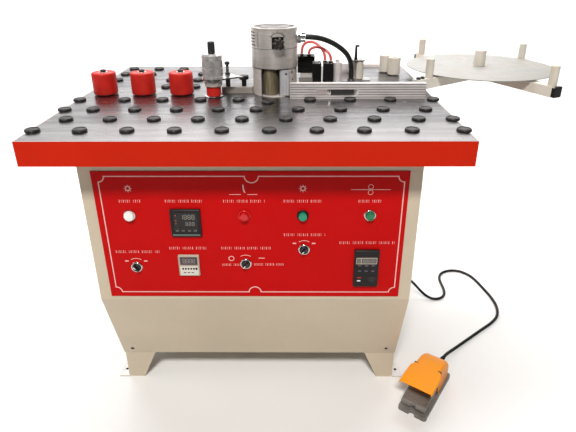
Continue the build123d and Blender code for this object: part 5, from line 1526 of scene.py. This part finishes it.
def make_pneumatics():
    """Tape clamp, cutter cylinder and air valve, with their fittings and screws."""
    blocks = Shape()
    compact_cylinder(blocks, *CLAMP_BLOCK)
    compact_cylinder(blocks, *CUTTER_BLOCK)
    air_valve(blocks, *VALVE_BLOCK)
    fittings = Shape()
    collars = Shape()
    for route in HOSE_ROUTES:
        for end, top in ((route[0], VALVE_BLOCK[1].z), (route[-1], CLAMP_BLOCK[1].z)):
            push_fitting(fittings, collars, end[0], end[1], top)
    how = {"slot": "black_plastic", "stands_for": ("pneumatic_blocks",), "bevel": 0.5}
    blocks.piece("air_cylinders", BLACK_ANODISED, **how)
    fittings.piece("air_fittings", BLACK, slot="black_plastic", smooth=30)
    collars.piece("fitting_collars", NYLON, slot="white_nylon", smooth=30)
    screws = Shape()
    corner_screws(screws, *CLAMP_BLOCK, (4.6, 4.8), (3, 1.6, 1.5))
    corner_screws(screws, *CUTTER_BLOCK, (4.6, 4.8), (3, 1.6, 1.5))
    corner_screws(screws, *VALVE_BLOCK, (5, 5), (2.6, 1.4, 1.3))
    screws.piece("cylinder_screws", NICKEL, slot="machined_steel", smooth=30)
    place = stand(140, CLAMP_BLOCK[0].y - 1, 864, "-Y")
    slab("valve_label_plate", GREY_BLOCK, rounded(40, 34, 1.5), 0, 1.6, place, slot="grey_plastic", bevel=0.4)


LEVER_PIVOT = (303, 140)


def make_feeder():
    """Nylon feed wheel with its tension lever, and the two tape guide rollers."""
    x, y, _ = centre("feeder_roller")
    axle_low = low("feeder_roller").z / MM - TABLE_TOP
    outline = [(0, axle_low), (5, axle_low), (5, 4), (10, 4), (11, 5), (11, 59), (10, 60), (5, 60), (5, 64)]
    outline += [(0, 64)]
    how = {"slot": "white_nylon", "stands_for": ("feeder_roller",)}
    turned("feeder_wheel", NYLON, outline, stand(x, y, TABLE_TOP), 48, body="feeder", **how)
    lever = Shape()
    place = stand(*LEVER_PIVOT, TABLE_TOP)
    outline = [(0, 56), (3, 56), (3, 65.3), (5.4, 65.3), (5.6, 66.2), (5.2, 69), (4.8, 71), (3.4, 104)]
    outline += [(3.2, 106), (0, 106)]
    lever.lathe(outline, place, 32)
    lever.prism(rounded(13, 6, 2.2), 105.2, 111, within(place, 3.4, 0))
    how = {"slot": "black_plastic", "stands_for": ("feeder_lever",), "bevel": 0.8, "steps": 3}
    lever.piece("feeder_handle", BLACK, "lever", **how)
    for side in ("front", "rear"):
        node = f"guide_roller_{side}"
        x, y, _ = centre(node)
        height = (high(node).z - low(node).z) / MM
        outline = [(4.1, 0), (18.8, 0), (20.5, 1.4), (20.5, height - 1.4), (19.2, height), (9.2, height)]
        outline += [(8, height - 1), (8, height - 7), (4.1, height - 7), (4.1, 0)]
        how = {"body": f"{side}_guide", "slot": "white_nylon", "stands_for": (node,)}
        turned(f"{node}_nylon", NYLON, outline, stand(x, y, low(node).z / MM), 64, **how)


# ---------------------------------------------------------------- tape tray
def make_tray():
    """Laminated disc with a dark edge, its hub, the four posts and the plugs in the tube ends."""
    x, y = TRAY_CENTRE
    place = stand(x, y, low("tray_disc").z / MM)
    radius = (high("tray_disc").x - low("tray_disc").x) / 2 / MM
    rim = radius - 1.2
    outline = [(6.1, 0), (rim, 0), (radius, 0.9), (radius, 2.1), (rim, 3), (6.1, 3), (6.1, 0)]
    how = {"body": "tray", "slot": "white_nylon"}
    turned("tray_plate", DISC_WHITE, outline, place, 160, stands_for=("tray_disc",), smooth=50, **how)
    outline = [(radius - 1.0, 0.5), (radius + 0.25, 0.7), (radius + 0.25, 2.3), (radius - 1.0, 2.5)]
    turned("tray_edge_band", GREY_BLOCK, outline, place, 160, body="tray", slot="grey_plastic")
    outline = [(6.2, 0), (17.4, 0), (18, 0.6), (18, 47.6), (16.6, 50), (9, 50), (8.2, 49.2), (0, 49.2)]
    place = stand(x, y, low("tray_hub").z / MM)
    turned("tray_core", NYLON, outline, place, 64, stands_for=("tray_hub",), **how)
    posts = Shape()
    outline = [(0, 0), (11.6, 0), (12, 0.5), (12, 54.4), (10.6, 56), (4.4, 56), (3.8, 55.2), (0, 55.2)]
    for lowest, highest in islands("tray_posts"):
        posts.lathe(outline, stand((lowest.x + highest.x) / 2, (lowest.y + highest.y) / 2, lowest.z), 48)
    posts.piece("tray_guide_posts", NYLON, slot="white_nylon", stands_for=("tray_posts",))
    plugs = Shape()
    for angle, reach in ((CROSS_ANGLE, 309), (TRAY_ANGLE, 271), (CROSS_ANGLE + 180, 322)):
        outward = Matrix.Rotation(math.radians(angle), 4, "Z") @ Matrix.Rotation(math.radians(90), 4, "Y")
        place = Matrix.Translation((*tray_point(angle, reach), TABLE_TOP + 15)) @ outward
        plugs.prism(rounded(30.4, 30.4, 3), -9, 0.4, place)
        plugs.prism(rounded(27, 27, 3), 0.3, 1.4, place)
    plugs.piece("tray_tube_plugs", BLACK, slot="black_plastic", bevel=0.6)


# ---------------------------------------------------------------- fence, floor bolt holes
FENCE_WINDOW = (166, 285)
GROOVE_PITCH = 7
WINDOW_SHADE_SPAN = (209, 276)
FLOOR_HOLE = (427, 263)
FRONT_SCREW = (384, -299, 122)
TOE_OUTWARD = Vector((0, -265, -89)).normalized()


def make_fence_lines():
    """Painted shade along the bottoms of the fence's grooves, and a dark plate behind its window that is
    painted shade for the inside of the fence.
    """
    left, front, base = low("fence") / MM
    right, _, top = high("fence") / MM
    # Dark strips in the bottoms of the grooves are painted shade.
    lines = Shape()
    for number in range(6):
        height = (base + top) / 2 + GROOVE_PITCH * (number - 2.5)
        spans = [(left, right)]
        if 6 < height - base < 27:
            spans = [(left, FENCE_WINDOW[0]), (FENCE_WINDOW[1], right)]
        for first, last in spans:
            lines.block((first, front + 0.7, height - 0.75), (last, front + 1.6, height + 0.75))
    lines.piece("fence_lines", GROOVE, slot="dark_steel")
    # The dark plate of painted shade starts to the right of the knife, so that the knife clears it.
    first, last = WINDOW_SHADE_SPAN
    plate = Shape()
    plate.block((first, front + 17.4, TABLE_TOP + 0.4), (last, front + 19.4, TABLE_TOP + 30))
    plate.piece("fence_window_shade", WINDOW_SHADE_GREY, slot="dark_steel", bevel=0.5)


def make_floor_holes():
    """Painted shade in the four floor bolt holes, and a screw low on the front."""
    # Dark discs and walls in the holes are painted shade.
    holes = Shape()
    hole_x, hole_y = FLOOR_HOLE
    for x in (-hole_x, hole_x):
        for y in (-hole_y, hole_y):
            holes.lathe([(4.6, 3.9), (4.45, 3.6), (4.4, 0.6), (0, 0.5)], stand(x, y, 0), 32)
    holes.piece("floor_holes", SHADE_AND_INK, slot="black_steel")
    across = Vector((1, 0, 0))
    axes = Matrix((across, TOE_OUTWARD.cross(across), TOE_OUTWARD)).transposed().to_4x4()
    outline = [(4.6, 0), (4.6, 0.7), (3.9, 1.6), (2.2, 2.1), (1.6, 1.2), (0, 1.1)]
    place = Matrix.Translation(FRONT_SCREW) @ axes
    turned("front_screw", BLACK_STEEL, outline, place, 32, slot="black_steel")


# ---------------------------------------------------------------- foot switch
PEDAL_TURN = math.degrees(math.atan2(PEDAL_RIGHT.y, PEDAL_RIGHT.x))


def on_pedal(across=0, back=0, z=0):
    """Local frame at the pedal: X to its right, Y to its rear, Z up."""
    place = PEDAL_FRONT + PEDAL_RIGHT * across + PEDAL_REAR * back
    return Matrix.Translation((place.x, place.y, z)) @ Matrix.Rotation(math.radians(PEDAL_TURN), 4, "Z")


def arch(half, top, bottom, corner):
    """Inverted U across the pedal, from the left skirt over the top to the right skirt."""
    left = arc(-half + corner, top - corner, corner, 180, 90, 5)
    right = arc(half - corner, top - corner, corner, 90, 0, 5)
    return [(-half, bottom)] + left + right + [(half, bottom)]


HOOD_WALL = 2.6


def make_hood():
    """Orange guard: a flat canopy with short skirts that runs back into a rounded hood."""
    place = on_pedal()
    hood = Shape()
    # Distance back, half width, top, bottom and corner radius.
    stations = [
        (5, 47.4, 103.2, 95.5, 2.5),
        (6.5, 48, 104, 95, 3),
        (60, 48, 104, 93, 4),
        (81, 48, 104, 92, 5),
        (85, 47.2, 104, 91.6, 5),
        (102, 38.6, 104, 91, 6),
        (105, 37.6, 104, 90.9, 6),
        (105.4, 37.5, 104, 13, 6),
        (122, 37.4, 103.6, 13, 7),
        (137, 37.4, 101.2, 13, 8),
        (150, 37.3, 97.6, 13, 9),
        (163, 37.2, 91.8, 13, 11),
        (175, 37, 84.6, 13, 12),
        (186, 36.4, 75.4, 13, 14),
        (196, 35.2, 64.5, 13, 15),
        (203.5, 33, 52.5, 13, 16),
        (208.2, 30, 38, 13, 15),
    ]
    rings = []
    for back, half, top, bottom, corner in stations:
        rings.append([place @ Vector((across, back, z)) for across, z in arch(half, top, bottom, corner)])
    hood.skin(rings, closed=False, last_cap=True)
    made = hood.piece("pedal_hood", HOOD, slot="guard_orange", stands_for=("pedal_guard",), smooth=48)
    wall = made.modifiers.new("wall", "SOLIDIFY")
    wall.thickness = HOOD_WALL * MM
    wall.offset = -1
    # Dark plugs in the two air slots are painted shade for the inside of the hood.
    slots = Shape()
    for side in (-1, 1):
        slots.prism(rounded(11, 3.4, 1.4), 98, 104.4, on_pedal(side * 35.5, 100, 0))
    slots.piece("hood_slots", SHADE_AND_INK, slot="black_plastic", bevel=0.4)


# ---------------------------------------------------------------- pieces
make_cord()
make_fixed_lines()
make_panel_print()
make_controls()
make_lamp()
make_thermostat()
make_counter()
make_speed_controller()
make_slide_buttons()
make_fasteners()
make_press_rollers()
make_drive_unit()
make_lid()
make_flow_knob()
make_pot_details()
make_pneumatics()
make_feeder()
make_tray()
make_fence_lines()
make_floor_holes()
make_hood()


# ---------------------------------------------------------------- light and floor
def make_floor():
    """White studio sweep: floor, a wide curve and a wall, in metres."""
    s = Surface("floor_plain", roughness=0.7)
    s.color(s.ramp(s.noise(1.5, 3), (0.3, 0.78), (0.7, 0.81)))
    s.bump(s.noise(60, 3), 0.0003, 0.2)
    s.set(Specular_IOR_Level=0.1)
    front, bend, wall, top, half_width = -7.0, 2.6, 4.4, 7.0, 9.0
    radius = wall - bend
    profile = [(front, 0.0), (bend, 0.0)] + arc(bend, radius, radius, -90, 0, 24)[1:] + [(wall, top)]
    sweep = bmesh.new()
    edges = []
    for side in (-half_width, half_width):
        edges.append([sweep.verts.new((side, depth, height)) for depth, height in profile])
    for n in range(len(profile) - 1):
        sweep.faces.new((edges[0][n], edges[1][n], edges[1][n + 1], edges[0][n + 1]))
    data = bpy.data.meshes.new("floor")
    sweep.to_mesh(data)
    sweep.free()
    data.materials.append(s.material)
    data.polygons.foreach_set("use_smooth", [True] * len(data.polygons))
    link_object("floor", data)


def area_light(name, place, target, size, power, color=(1, 1, 1)):
    """Rectangular lamp at a place, turned towards a target, in metres and watts."""
    data = bpy.data.lights.new(name, "AREA")
    data.shape = "RECTANGLE"
    data.size, data.size_y = size
    data.energy = power
    data.color = color
    light = link_object(name, data)
    light.location = place
    light.rotation_euler = (Vector(target) - Vector(place)).to_track_quat("-Z", "Y").to_euler()


def make_light():
    """Faint even surround, a key lamp in front, and lamps on the wall, behind and at the left."""
    world = bpy.data.worlds.new("studio")
    bpy.context.scene.world = world
    world.use_nodes = True
    background = world.node_tree.nodes["Background"]
    background.inputs["Color"].default_value = (1.0, 0.99, 0.97, 1)
    background.inputs["Strength"].default_value = 0.07
    area_light("key", (-0.2, -3.9, 5.0), (0.0, -0.3, 0.6), (1.3, 0.8), 330, (1, 0.97, 0.93))
    area_light("wall", (0.0, 1.6, 4.4), (0.0, 3.6, 1.0), (6.0, 1.2), 320)
    area_light("back", (0.2, 2.4, 3.0), (0, 0, 0.85), (3.6, 1.2), 26, (1, 0.98, 0.96))
    area_light("left", (-3.4, -0.6, 2.2), (0, 0, 0.6), (1.6, 1.6), 16)
    bpy.context.scene.view_settings.view_transform = "Standard"


make_floor()
make_light()
